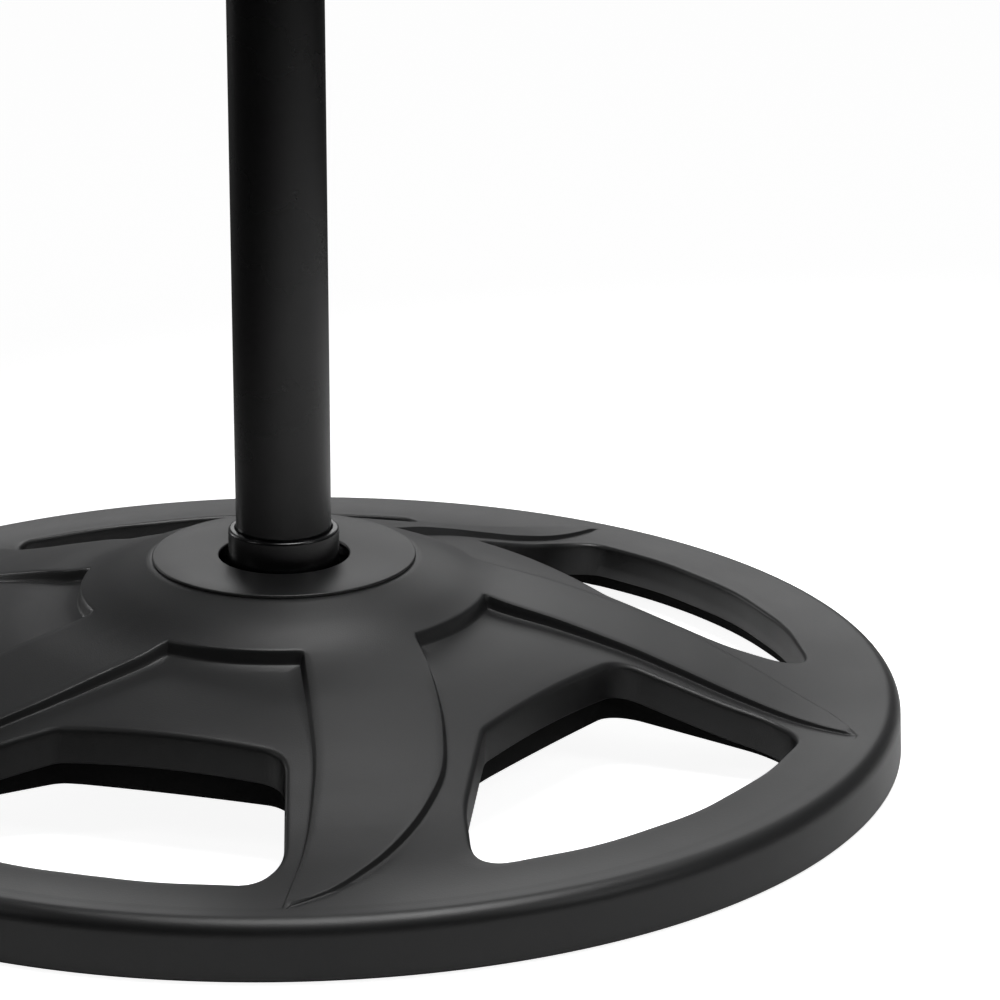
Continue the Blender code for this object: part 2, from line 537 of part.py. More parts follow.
lock_knob = prism("lock_knob", [lobed(6, KNOB_R, 0.0035)], 0.0, KNOB_L, BLACK_PLASTIC, where=PARTS)
axis_empty = bpy.data.objects.new("knob_axis", None)
PARTS.objects.link(axis_empty)
axis_empty.location = (KNOB_X, 0.0, KNOB_Z)
axis_empty.rotation_euler = (0.0, math.pi / 2, 0.0)
lock_knob.parent = axis_empty
SCREW_END = KNOB_X + KNOB_L * 0.75
knob_bore = rod("knob_bore", SCREW_R + GAP, (KNOB_X - 0.01, 0, KNOB_Z), (SCREW_END + GAP, 0, KNOB_Z), BRASS,
                CUTTERS)
boolean(lock_knob, knob_bore)
rod("knob_screw", SCREW_R, (UPPER_POLE_R + GAP, 0, KNOB_Z), (SCREW_END, 0, KNOB_Z), ZINC)

# ---------------------------------------------------------------- the upper pole
UPPER_FOOT_Z = UPPER_POLE_TOP - UPPER_POLE_L
upper_bore = UPPER_POLE_R - POLE_T
upper_pole = ring("upper_pole", upper_bore, UPPER_POLE_R, UPPER_FOOT_Z, UPPER_POLE_TOP, BLACK_STEEL)
plug = [(upper_bore - GAP, UPPER_FOOT_Z + 0.0160), (upper_bore - GAP, UPPER_FOOT_Z - GAP),
        (bore - RUN, UPPER_FOOT_Z - GAP), (bore - RUN, UPPER_FOOT_Z - 0.0120),
        (0.0080, UPPER_FOOT_Z - 0.0120), (0.0080, UPPER_FOOT_Z + 0.0160)]
turned("slide_plug", plug, DARK_PLASTIC, closed=True)

# ---------------------------------------------------------------- the spring and its seats
POINTS_A_TURN = 8         # the coil is drawn with this many straight runs a turn
NOSE_R = SPRING_R * math.cos(math.pi / POINTS_A_TURN) - WIRE_R * 1.1 - GAP
seat = [(0.0, SPRING_Z + SEAT_NOSE_L), (NOSE_R - 0.0030, SPRING_Z + SEAT_NOSE_L),
        (NOSE_R, SPRING_Z + SEAT_NOSE_L - 0.0030), (NOSE_R, SEAT_Z + SEAT_T), (SEAT_R, SEAT_Z + SEAT_T),
        (SEAT_R, SEAT_Z), (upper_bore - GAP, SEAT_Z), (upper_bore - GAP, SEAT_Z - SEAT_PLUG_L),
        (0.0, SEAT_Z - SEAT_PLUG_L)]
lower_seat = turned("lower_spring_seat", seat, BLACK_STEEL)
PIN_Z = SEAT_Z - SEAT_PLUG_L / 2
pin_way_x = UPPER_POLE_R + 0.010
pin_way = rod("pin_way", PIN_R + GAP, (-pin_way_x, 0, PIN_Z), (pin_way_x, 0, PIN_Z), ZINC, CUTTERS, 12)
boolean(upper_pole, pin_way)
boolean(lower_seat, pin_way)
PIN_REACH = UPPER_POLE_R - GAP      # the pin stops inside the tube's wall, so that it can pass the clamp
rod("seat_pin", PIN_R, (-PIN_REACH, 0, PIN_Z), (PIN_REACH, 0, PIN_Z), ZINC, sides=16)

HUB_NOSE_Z = TOP_SEAT_Z - GAP - SEAT_NOSE_L
top_seat = [(SEAT_R, TOP_SEAT_Z + SEAT_T), (SEAT_R, TOP_SEAT_Z), (NOSE_R, TOP_SEAT_Z),
            (NOSE_R, HUB_NOSE_Z + 0.0030), (NOSE_R - 0.0030, HUB_NOSE_Z), (STUD_R + GAP, HUB_NOSE_Z),
            (STUD_R + GAP, TOP_SEAT_Z + SEAT_T)]
turned("upper_spring_seat", top_seat, BLACK_STEEL, closed=True)

coil = bpy.data.curves.new("spring", "CURVE")
coil.dimensions = "3D"
coil.bevel_depth = WIRE_R
coil.bevel_resolution = 2
coil.use_fill_caps = True
coil_points = SPRING_TURNS * POINTS_A_TURN + 1
spline = coil.splines.new("POLY")
spline.points.add(coil_points - 1)
rise = (SPRING_L - 2 * WIRE_R - 2 * GAP) / (coil_points - 1)
for i, point in enumerate(spline.points):
    angle = 2 * math.pi * i / POINTS_A_TURN
    z = SPRING_Z + WIRE_R + GAP + rise * i
    point.co = (SPRING_R * math.cos(angle), SPRING_R * math.sin(angle), z, 1.0)
coil.materials.append(BLACK_STEEL)
spring = bpy.data.objects.new("spring", coil)
PARTS.objects.link(spring)

# ---------------------------------------------------------------- the ball
STUD_LOW = HUB_NOSE_Z + 0.0040
DISC_T = 0.0040
DISC_Z = BALL_Z - math.sqrt((BALL_R - BALL_T) ** 2 - (DISC_R * 1.6) ** 2)
INNER_NUT_Z = DISC_Z + DISC_T + GAP
STUD_HIGH = INNER_NUT_Z + NUT_H + 0.0020
NUT_R = STUD_R * 2
disc("ball_stud", STUD_R, STUD_LOW, STUD_HIGH, ZINC)
nut("stud_nut", STUD_R + GAP, NUT_R, STUD_NUT_Z, STUD_NUT_Z + NUT_H)
plate = [(PLATE_R * 0.55, PLATE_Z + PLATE_T), (PLATE_R - 0.0030, PLATE_Z + PLATE_T - 0.0014),
         (PLATE_R, PLATE_Z + PLATE_T - 0.0036), (PLATE_R - 0.0040, PLATE_Z + 0.0010),
         (PLATE_R * 0.55, PLATE_Z), (STUD_R + GAP, PLATE_Z), (STUD_R + GAP, PLATE_Z + PLATE_T)]
turned("ball_plate", plate, RUBBER, closed=True)
ring("inner_disc", STUD_R + GAP, DISC_R, DISC_Z, DISC_Z + DISC_T, ZINC)
nut("inner_nut", STUD_R + GAP, NUT_R, INNER_NUT_Z, INNER_NUT_Z + NUT_H)

VALVE_R = 0.0040


def arc(radius, high, count):
    """Points of a ball's half section, from the edge of the valve's hole to a polar angle."""
    points = []
    low = math.degrees(math.asin((VALVE_R + GAP) / radius))
    for i in range(count + 1):
        a = math.radians(low + (high - low) * i / count)
        points.append((radius * math.sin(a), BALL_Z + radius * math.cos(a)))
    return points


mouth = 180 - math.degrees(math.asin(MOUTH_R / BALL_R))
outer_half = arc(BALL_R, mouth, 10)
inner_half = arc(BALL_R - BALL_T, mouth, 7)
turned("ball_cover", outer_half + inner_half[::-1], LEATHER, closed=True)
BLADDER_R = BALL_R - BALL_T - LINING
FLOOR_Z = STUD_HIGH + 0.0010      # the bladder's flat underside, over the end of the stud
FLOOR_A = math.degrees(math.acos((FLOOR_Z - BALL_Z) / BLADDER_R))
bladder_out = arc(BLADDER_R, FLOOR_A, 6)
inner_a = math.degrees(math.acos((FLOOR_Z + BLADDER_T - BALL_Z) / (BLADDER_R - BLADDER_T)))
bladder_in = arc(BLADDER_R - BLADDER_T, inner_a, 6)
bladder = bladder_out + [(0.0060, FLOOR_Z), (0.0060, FLOOR_Z + BLADDER_T)] + bladder_in[::-1]
turned("ball_bladder", bladder, BLADDER, closed=True)
VALVE_TOP = BALL_Z + math.sqrt(BALL_R ** 2 - VALVE_R ** 2)
VALVE_L = 0.0180
disc("ball_valve", VALVE_R, VALVE_TOP - VALVE_L, VALVE_TOP, RUBBER, steps=18)
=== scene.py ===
import json
import math

import bmesh
import bpy
import numpy as np
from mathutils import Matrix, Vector


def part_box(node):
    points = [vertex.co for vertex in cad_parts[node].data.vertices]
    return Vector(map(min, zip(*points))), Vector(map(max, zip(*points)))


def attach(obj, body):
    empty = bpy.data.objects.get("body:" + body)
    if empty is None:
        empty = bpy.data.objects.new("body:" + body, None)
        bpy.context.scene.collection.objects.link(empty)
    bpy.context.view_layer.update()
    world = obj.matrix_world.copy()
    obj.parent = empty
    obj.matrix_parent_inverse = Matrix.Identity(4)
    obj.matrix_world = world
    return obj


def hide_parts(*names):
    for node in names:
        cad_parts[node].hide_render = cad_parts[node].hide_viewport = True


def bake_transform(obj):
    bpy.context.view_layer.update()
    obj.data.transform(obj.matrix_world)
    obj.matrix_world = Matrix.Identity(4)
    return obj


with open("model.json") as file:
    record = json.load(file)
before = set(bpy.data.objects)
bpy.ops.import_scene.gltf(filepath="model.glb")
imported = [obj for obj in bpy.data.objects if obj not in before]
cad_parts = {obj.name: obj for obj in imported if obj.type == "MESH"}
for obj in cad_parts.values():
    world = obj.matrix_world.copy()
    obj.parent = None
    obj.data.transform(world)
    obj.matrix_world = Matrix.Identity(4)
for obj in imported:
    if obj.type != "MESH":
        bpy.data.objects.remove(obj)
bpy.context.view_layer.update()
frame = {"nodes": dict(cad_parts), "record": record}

# ==================================================================== camera, floor and lights
# A long lens a little above the base looks down on it from the front, so the base fills the width and
# the pole runs out at the top. The floor is pale and wide, and every light is a large soft panel.
CAMERA_AT = (0.1010, -1.9747, 0.7529)
CAMERA_DOWN = 17.84
CAMERA_LENS, SENSOR_W = 160.3, 36.0
NEAREST_SEEN, FARTHEST_SEEN = 0.05, 100.0
camera_data = bpy.data.cameras.new("studio_camera")
camera_data.sensor_width = SENSOR_W
camera_data.lens = CAMERA_LENS
camera_data.clip_start = NEAREST_SEEN
camera_data.clip_end = FARTHEST_SEEN
camera = bpy.data.objects.new("studio_camera", camera_data)
bpy.context.scene.collection.objects.link(camera)
camera.location = CAMERA_AT
camera.rotation_euler = (math.radians(90.0 - CAMERA_DOWN), 0.0, 0.0)
bpy.context.scene.camera = camera
bpy.context.scene.view_settings.view_transform = "Standard"

world = bpy.data.worlds.new("studio_world")
bpy.context.scene.world = world
world.use_nodes = True
# The room is dark in front and bright behind and to the right: its glow grows with how far a
# direction leans towards that bright side. Past the floor's end the camera sees a pale backdrop.
BRIGHT_SIDE = (0.32, 0.92, 0.20)
LEAN_FROM, LEAN_TO = -0.15, 1.0
ROOM_DARK, ROOM_BRIGHT = 0.030, 0.19
ROOM_TINT = (0.97, 0.98, 1.0, 1.0)
BACKDROP_GLOW = 0.96
world_nodes, world_links = world.node_tree.nodes, world.node_tree.links
world_nodes["Background"].inputs["Color"].default_value = ROOM_TINT
room_place = world_nodes.new("ShaderNodeTexCoord")
room_lean = world_nodes.new("ShaderNodeVectorMath")
room_lean.operation = "DOT_PRODUCT"
room_lean.inputs[1].default_value = BRIGHT_SIDE
room_glow = world_nodes.new("ShaderNodeMapRange")
room_glow.interpolation_type = "SMOOTHSTEP"
room_glow.inputs["From Min"].default_value = LEAN_FROM
room_glow.inputs["From Max"].default_value = LEAN_TO
room_glow.inputs["To Min"].default_value = ROOM_DARK
room_glow.inputs["To Max"].default_value = ROOM_BRIGHT
world_links.new(room_place.outputs["Generated"], room_lean.inputs[0])
world_links.new(room_lean.outputs["Value"], room_glow.inputs["Value"])
room_path = world_nodes.new("ShaderNodeLightPath")
room_seen = world_nodes.new("ShaderNodeMix")
room_seen.inputs["B"].default_value = BACKDROP_GLOW
world_links.new(room_path.outputs["Is Camera Ray"], room_seen.inputs["Factor"])
world_links.new(room_glow.outputs["Result"], room_seen.inputs["A"])
world_links.new(room_seen.outputs["Result"], world_nodes["Background"].inputs["Strength"])

# The floor's colour is painted with a pool of light to the object's right that fades to dark further out, so
# what the object mirrors of the floor fades away from it, while the camera sees an even pale floor with the
# object's soft shadow on it.
FLOOR_HALF = 30.0
FLOOR_ROUGH = 0.9
FLOOR_GLOW = 0.92
# painted pool of light: where it sits, how far out it fades, and the floor colour at its middle and far away
PAINTED_POOL_AT = (0.42, -0.26, 0.0)
PAINTED_POOL_FROM, PAINTED_POOL_TO = 0.35, 1.15
PAINTED_POOL_BRIGHT, PAINTED_POOL_DARK = 0.85, 0.04
floor_mesh = bpy.data.meshes.new("studio_floor")
floor_mesh.from_pydata([(-FLOOR_HALF, -FLOOR_HALF, 0), (FLOOR_HALF, -FLOOR_HALF, 0),
                        (FLOOR_HALF, FLOOR_HALF, 0), (-FLOOR_HALF, FLOOR_HALF, 0)], [], [(0, 1, 2, 3)])
studio_floor = bpy.data.objects.new("studio_floor", floor_mesh)
bpy.context.scene.collection.objects.link(studio_floor)
floor_look = bpy.data.materials.new("pale_floor")
floor_look.use_nodes = True
floor_nodes = floor_look.node_tree.nodes
floor_links = floor_look.node_tree.links
floor_shader = floor_nodes["Principled BSDF"]
floor_shader.inputs["Roughness"].default_value = FLOOR_ROUGH
floor_glow = floor_nodes.new("ShaderNodeEmission")
floor_glow.inputs["Color"].default_value = (1.0, 1.0, 1.0, 1.0)
floor_path = floor_nodes.new("ShaderNodeLightPath")
floor_lift = floor_nodes.new("ShaderNodeMath")
floor_lift.operation = "MULTIPLY"
floor_lift.inputs[1].default_value = FLOOR_GLOW
floor_place = floor_nodes.new("ShaderNodeTexCoord")
floor_far = floor_nodes.new("ShaderNodeVectorMath")
floor_far.operation = "DISTANCE"
floor_far.inputs[1].default_value = PAINTED_POOL_AT
# painted pool of light: the floor's base colour runs from bright near the pool's middle to dark far from it
floor_painted_pool = floor_nodes.new("ShaderNodeMapRange")
floor_painted_pool.interpolation_type = "SMOOTHSTEP"
floor_painted_pool.inputs["From Min"].default_value = PAINTED_POOL_FROM
floor_painted_pool.inputs["From Max"].default_value = PAINTED_POOL_TO
floor_painted_pool.inputs["To Min"].default_value = PAINTED_POOL_BRIGHT
floor_painted_pool.inputs["To Max"].default_value = PAINTED_POOL_DARK
floor_links.new(floor_place.outputs["Object"], floor_far.inputs[0])
floor_links.new(floor_far.outputs["Value"], floor_painted_pool.inputs["Value"])
floor_links.new(floor_painted_pool.outputs["Result"], floor_shader.inputs["Base Color"])
floor_sum = floor_nodes.new("ShaderNodeAddShader")
floor_links.new(floor_path.outputs["Is Camera Ray"], floor_lift.inputs[0])
floor_links.new(floor_lift.outputs[0], floor_glow.inputs["Strength"])
floor_links.new(floor_shader.outputs[0], floor_sum.inputs[0])
floor_links.new(floor_glow.outputs[0], floor_sum.inputs[1])
floor_links.new(floor_sum.outputs[0], floor_nodes["Material Output"].inputs["Surface"])
floor_mesh.materials.append(floor_look)


def soft_panel(name, place, aim, width, height, watts):
    """A rectangular area light at a place, turned towards the point it is aimed at."""
    lamp = bpy.data.lights.new(name, "AREA")
    lamp.shape = "RECTANGLE"
    lamp.size = width
    lamp.size_y = height
    lamp.energy = watts
    holder = bpy.data.objects.new(name, lamp)
    bpy.context.scene.collection.objects.link(holder)
    holder.location = place
    holder.rotation_euler = (Vector(aim) - Vector(place)).to_track_quat("-Z", "Y").to_euler()


soft_panel("top_panel", (0.35, 0.05, 3.0), (0.15, 0.0, 0.0), 1.8, 1.2, 78.0)
soft_panel("back_panel", (0.2, 3.4, 1.5), (0.0, 0.0, 0.1), 2.2, 1.0, 14.0)
soft_panel("left_panel", (-3.0, 2.2, 0.9), (0.0, 0.0, 0.4), 0.7, 1.8, 15.0)
soft_panel("right_strip", (2.3, -1.3, 1.9), (0.0, 0.0, 1.3), 0.5, 1.3, 9.0)
soft_panel("left_strip", (-2.5, -0.9, 2.0), (0.0, 0.0, 1.3), 0.4, 1.3, 6.0)

# ==================================================================== base shell
# The weighted base's top: one satin black moulding with a domed hub, five swirl blades that stand
# proud of five pockets, and a hand window in each pocket. Its walls are 4 mm thick and open below.
BASE_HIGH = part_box("base_shell")[1]
BASE_R = BASE_HIGH.x
SPOKES = 5
DOME_R = 0.096
SHELL_T = 0.0040
HUB_LAND_Z = BASE_HIGH.z
CAP_LAND_R = 0.0628
RECESS_R = 0.0546
BOSS_DOWN, BOSS_T = 0.0115, 0.0050
BOSS_Z = HUB_LAND_Z - BOSS_DOWN
HOLE_R = 0.0268
LAND_EDGE = 0.0006
LAND_UNDER = 0.0110             # from the cap's land down to the shell's inner face below it
RECESS_EDGE = 0.0008
STEP_H = 0.0058
TIP_H = 0.0013
EDGE_WIDTH = (0.0006, 0.0006)   # half the width of a blade's edge: at its tip, and what the dome adds
WINDOW_FILLET = 0.0024
WINDOW_WALL = 0.0170
WALL_FOOT_RUN, WALL_FOOT_RISE = 0.0005, 0.0006     # the broken edge at the foot of a window's wall
RIM_LIFT = 0.0015
RIM_EDGE_R = 0.0078
RIM_DRAFT = 0.0006              # how far the rim's side leans in from its foot to its top
RIM_DRAFT_Z = 0.0110            # the height at which it has leant in by half of that
RIM_FOOT_EDGE = 0.0010
RIM_CORNER_Z = 0.0160           # where the rim's inner face starts to slope under its top
RIM_CORNER_RUN, RIM_CORNER_DROP = 0.0045, 0.0010
HUB_ARC = 0.300
RIM_ARC = 0.955
TIP_ARC = 0.945

# Radius and height of the blades' crown, in shares of the base's radius.
CROWN = [(0.2165, 0.3100), (0.270, 0.2905), (0.335, 0.2630), (0.450, 0.2300), (0.555, 0.1960),
         (0.650, 0.1620), (0.750, 0.1280), (0.830, 0.1080), (0.900, 0.0990), (0.960, 0.0965),
         (1.0, 0.0960)]
TIP_RISE_FROM, TIP_RISE_OVER, TIP_FALL_OVER = 0.50, 0.30, 0.016
STEP_FALL = 1.1
# Radius and angle of a blade's two edges and of its middle, the middle running on over the rim.
BLADE_LEFT = [(0.331, 277.3), (0.480, 277.2), (0.573, 277.0), (0.678, 275.9), (0.737, 275.2),
              (0.800, 274.3), (0.870, 273.2), (0.945, 272.3)]
BLADE_RIGHT = [(0.331, 311.0), (0.454, 303.5), (0.553, 298.5), (0.644, 294.0), (0.700, 290.3),
               (0.770, 285.5), (0.843, 280.3), (0.905, 276.0), (0.945, 272.3)]
BLADE_MIDDLE = [(0.300, 294.6), (0.454, 290.4), (0.573, 287.4), (0.678, 284.0), (0.770, 279.9),
                (0.843, 276.8), (0.905, 274.4), (0.955, 272.3)]
# Corners of a window: radius, angle and rounding.
WINDOW = [(0.556, 305.7, 0.050), (0.710, 294.8, 0.300), (0.862, 291.2, 0.075), (0.866, 305.0, 0.50),
          (0.866, 318.0, 0.50), (0.866, 331.0, 0.50), (0.866, 341.5, 0.060),
          (0.800, 344.4, 0.120), (0.556, 344.6, 0.055)]
RAY_CENTRE = BASE_R * np.array([0.60, -0.55])
STEEPEST_SLANT = 2.2
CORNER_ROOM = 0.48              # the share of a side that one corner's rounding may take


def through(value, knots):
    """A smooth curve through knots (place, height): cubic pieces whose slopes come from the
    neighbouring knots, so that the curve has no corners."""
    place, height = np.array(knots, float).T
    slope = np.gradient(height, place)
    i = np.clip(np.searchsorted(place, value) - 1, 0, len(place) - 2)
    span = place[i + 1] - place[i]
    t = np.clip((value - place[i]) / span, 0.0, 1.0)
    return ((2 * t ** 3 - 3 * t ** 2 + 1) * height[i] + (t ** 3 - 2 * t ** 2 + t) * span * slope[i]
            + (3 * t ** 2 - 2 * t ** 3) * height[i + 1] + (t ** 3 - t ** 2) * span * slope[i + 1])


def polar(radius, degrees):
    """Points from radii, in shares of the base's radius, and angles in degrees."""
    angle = np.radians(degrees)
    radius = BASE_R * np.asarray(radius, float)
    return np.stack([radius * np.cos(angle), radius * np.sin(angle)], -1)


def turned_by(points, spokes):
    """Flat points turned about the pole by a number of spokes."""
    angle = 2 * math.pi / SPOKES * spokes
    c, s = math.cos(angle), math.sin(angle)
    return points @ np.array([[c, s], [-s, c]])


def evenly(points, count):
    """A closed outline resampled to evenly spaced points along its length."""
    closed = np.vstack([points, points[:1]])
    along = np.concatenate([[0.0], np.cumsum(np.linalg.norm(np.diff(closed, axis=0), axis=1))])
    at = np.linspace(0.0, along[-1], count, endpoint=False)
    return np.stack([np.interp(at, along, closed[:, 0]), np.interp(at, along, closed[:, 1])], -1)


def rounded(corners, steps=14):
    """A closed outline through corners (radius, angle, rounding): each corner is a parabola between
    the two points where an arc of that rounding would leave its sides."""
    spots = polar([c[0] for c in corners], [c[1] for c in corners])
    t = np.linspace(0.0, 1.0, steps)[:, None]
    outline = []
    for i, here in enumerate(spots):
        back, ahead = spots[i - 1] - here, spots[(i + 1) % len(spots)] - here
        long_back, long_ahead = np.linalg.norm(back), np.linalg.norm(ahead)
        half = math.acos(np.clip(back @ ahead / (long_back * long_ahead), -1, 1)) / 2
        leave = min(corners[i][2] * BASE_R / math.tan(half), CORNER_ROOM * long_back,
                    CORNER_ROOM * long_ahead)
        start, end = here + back / long_back * leave, here + ahead / long_ahead * leave
        outline.append((1 - t) ** 2 * start + 2 * t * (1 - t) * here + t ** 2 * end)
    return np.vstack(outline)


def reach(outline, angles):
    """How far each ray from the window's middle runs before it meets a closed outline."""
    arms = outline - RAY_CENTRE
    bearing = np.arctan2(arms[:, 1], arms[:, 0])
    order = np.argsort(bearing)
    return np.interp(angles, bearing[order], np.hypot(*arms.T)[order], period=2 * math.pi)


def slant(length, angles):
    """How much longer a step along a ray is than a step square to the outline that the ray meets."""
    change = np.roll(length, -1) - np.roll(length, 1)
    step = np.angle(np.exp(1j * (np.roll(angles, -1) - np.roll(angles, 1))))
    return np.clip(np.sqrt(1 + (change / (step * length)) ** 2), 1.0, STEEPEST_SLANT)


def distance(points, outline):
    """Shortest distance from each point to the straight pieces of a closed outline."""
    start, end = outline, np.roll(outline, -1, axis=0)
    along = end - start
    square = (along ** 2).sum(1) + 1e-18
    nearest = np.empty(len(points))
    at_once = 4000
    for block in range(0, len(points), at_once):
        part = points[block:block + at_once, None, :] - start[None]
        t = np.clip((part * along).sum(2) / square, 0.0, 1.0)
        nearest[block:block + at_once] = np.linalg.norm(part - along * t[..., None], axis=2).min(1)
    return nearest


def crown(radius):
    """Height of the blades and the dome at a radius in metres."""
    return BASE_R * through(radius / BASE_R, CROWN)


def tip_height(radius):
    """How far the blades stand over the crown: a little, from their middles out to their tips."""
    start = np.clip((radius / BASE_R - TIP_RISE_FROM) / TIP_RISE_OVER, 0.0, 1.0)
    end = np.clip((TIP_ARC - radius / BASE_R) / TIP_FALL_OVER, 0.0, 1.0)
    return TIP_H * start * start * (3 - 2 * start) * end * end * (3 - 2 * end)


def step_height(radius):
    """How far the blades stand over the pockets: most at the dome, nothing at the tips."""
    share = np.clip((radius - DOME_R) / (TIP_ARC * BASE_R - DOME_R), 0.0, 1.0)
    return STEP_H * (1 - share) ** STEP_FALL


def edge(knots, turn=0.0, count=160):
    """One edge of a blade from the dome outwards, its angle smooth over its radius."""
    radius = np.linspace(knots[0][0], knots[-1][0], count)
    return polar(radius, through(radius, knots) + turn)


SPOKE_TURN = 360.0 / SPOKES
HUB_COLUMNS, SIDE_COLUMNS, RIM_COLUMNS = 46, 84, 96
middle_radius = np.linspace(HUB_ARC, RIM_ARC, SIDE_COLUMNS + 1)
middle_angle = through(middle_radius, BLADE_MIDDLE)
hub_angles = np.linspace(middle_angle[0], middle_angle[0] + SPOKE_TURN, HUB_COLUMNS + 1)
rim_angles = np.linspace(middle_angle[-1], middle_angle[-1] + SPOKE_TURN, RIM_COLUMNS + 1)
sector = np.vstack([
    polar(HUB_ARC, hub_angles)[:-1], polar(middle_radius, middle_angle + SPOKE_TURN)[:-1],
    polar(RIM_ARC, rim_angles[::-1])[:-1], polar(middle_radius, middle_angle)[::-1][:-1]])
pocket_arc = np.linspace(BLADE_RIGHT[0][1], BLADE_LEFT[0][1] + SPOKE_TURN, 120)
tip_arc = np.linspace(BLADE_LEFT[-1][1] + SPOKE_TURN, BLADE_LEFT[-1][1], 260)
pocket = evenly(np.vstack([polar(DOME_R / BASE_R, pocket_arc), edge(BLADE_LEFT, SPOKE_TURN),
                           polar(TIP_ARC, tip_arc), edge(BLADE_RIGHT)[::-1]]), 1500)
window = evenly(rounded(WINDOW), 1200)
arms = sector - RAY_CENTRE
rays = np.arctan2(arms[:, 1], arms[:, 0])
to_sector = np.hypot(*arms.T)
to_pocket = reach(pocket, rays)
to_window = reach(window, rays)
pocket_slant, window_slant = slant(to_pocket, rays), slant(to_window, rays)


def blade_share(flat, outside):
    """0 in a pocket and 1 on a blade or the dome: a smooth S over the distance to the nearest edge."""
    gap = np.minimum.reduce([distance(flat, turned_by(pocket[::3], k)) for k in (-1, 0, 1)])
    deep = np.clip(step_height(np.hypot(*flat.T)) / STEP_H, 0.0, 1.0)
    width = EDGE_WIDTH[0] + EDGE_WIDTH[1] * deep
    t = np.clip(np.where(outside, gap, -gap) / width, -1.0, 1.0) * 0.5 + 0.5
    return t * t * (3 - 2 * t)


# Where the rings lie across a blade's edge, in half widths, and the share of the room on either side
# of it that they may take up.
STEP_PLACES = np.array([-1.15, -0.8, -0.5, -0.25, 0.0, 0.25, 0.5, 0.8, 1.15])
STEP_ROOM = 0.7


def ray_points(length):
    """Flat points at these lengths along the rays."""
    return RAY_CENTRE + np.stack([length * np.cos(rays), length * np.sin(rays)], -1)


def shell_rings():
    """The rings of one fifth of the shell, from the inside at its edge, round the window's wall, to
    the outside at its edge: a window's wall, its rounded brim, the pocket, the blade's step, the blade."""
    rings = []
    back = to_window + SHELL_T * window_slant
    for share in (1.0, 0.75, 0.5, 0.25, 0.0):
        rings.append((back + (to_sector - back) * share, "inside", 0.0))
    rings.append((back, "inside", WINDOW_WALL * 0.5))
    rings.append((back, "outside", WINDOW_WALL))
    rings.append((to_window + WALL_FOOT_RUN * window_slant, "outside", WINDOW_WALL))
    for drop in (WINDOW_WALL - WALL_FOOT_RISE, WINDOW_WALL * 0.6, WINDOW_WALL * 0.3):
        rings.append((to_window, "outside", drop))
    for a in np.radians(np.linspace(0, 90, 7)):
        run = WINDOW_FILLET * (1 - math.cos(a))
        rings.append((to_window + run * window_slant, "outside", WINDOW_FILLET * (1 - math.sin(a))))
    brim = to_window + WINDOW_FILLET * window_slant
    deep = step_height(np.hypot(*ray_points(to_pocket).T)) / STEP_H
    width = (EDGE_WIDTH[0] + EDGE_WIDTH[1] * deep) * pocket_slant
    low_room, high_room = STEP_ROOM * (to_pocket - brim), STEP_ROOM * (to_sector - to_pocket)
    first = to_pocket + np.maximum(STEP_PLACES[0] * width, -low_room)
    for share in np.linspace(0, 1, 9)[1:-1]:
        rings.append((brim + (first - brim) * share, "outside", 0.0))
    for place in STEP_PLACES:
        room = low_room if place < 0 else high_room
        shift = np.sign(place) * np.minimum(abs(place) * width, room * abs(place) / STEP_PLACES[-1])
        rings.append((to_pocket + shift, "outside", 0.0))
    last = rings[-1][0]
    for share in np.linspace(0, 1, 8)[1:]:
        rings.append((last + (to_sector - last) * share, "outside", 0.0))
    return rings


def grid_faces(rows, columns, first):
    """Four-sided faces between neighbouring rows of a grid, closed round its columns; first is the
    number of the grid's first point."""
    across = np.arange(columns)
    ahead = (across + 1) % columns
    row = np.arange(rows - 1)[:, None] * columns
    faces = np.stack([row + across, row + ahead, row + columns + ahead, row + columns + across], -1)
    return faces.reshape(-1, 4) + first


def make_piece(name, grids, weld=0.00002, sharp=38.0):
    """One mesh object from grids of (rows, columns, 3) points, closed round their columns, with
    shared points welded, normals outwards and edges sharp only past an angle."""
    points, faces, first = [], [], 0
    for grid in grids:
        rows, columns = grid.shape[:2]
        points.append(grid.reshape(-1, 3))
        faces.append(grid_faces(rows, columns, first))
        first += rows * columns
    mesh = bpy.data.meshes.new(name)
    mesh.from_pydata(np.vstack(points).tolist(), [], np.vstack(faces).tolist())
    build = bmesh.new()
    build.from_mesh(mesh)
    bmesh.ops.remove_doubles(build, verts=build.verts, dist=weld)
    bmesh.ops.dissolve_degenerate(build, edges=build.edges, dist=weld * 0.1)
    bmesh.ops.recalc_face_normals(build, faces=build.faces)
    build.to_mesh(mesh)
    build.free()
    mesh.shade_smooth()
    mesh.set_sharp_from_angle(angle=math.radians(sharp))
    piece = bpy.data.objects.new(name, mesh)
    bpy.context.scene.collection.objects.link(piece)
    return piece


def fifths(rings, height):
    """The grids of all five spokes from one fifth's rings: height turns a ring's flat points, side,
    drop and whether it lies outside the pocket's outline into heights."""
    fifth = []
    for length, side, drop in rings:
        flat = ray_points(length)
        fifth.append(np.column_stack([flat, height(flat, side, drop, length >= to_pocket - 1e-9)]))
    fifth = np.array(fifth)
    grids = []
    for k in range(SPOKES):
        turned = fifth.copy()
        turned[..., :2] = turned_by(fifth[..., :2].reshape(-1, 2), k).reshape(turned[..., :2].shape)
        grids.append(turned)
    return grids


def round_grid(flat_angles, profile):
    """A profile of (radius, height) rings over all five spokes' own column angles."""
    angle = np.radians(np.concatenate([flat_angles[:-1] + SPOKE_TURN * k for k in range(SPOKES)]))
    radius, height = np.array(profile, float).T
    return np.stack([radius[:, None] * np.cos(angle), radius[:, None] * np.sin(angle),
                     np.repeat(height[:, None], len(angle), 1)], -1)


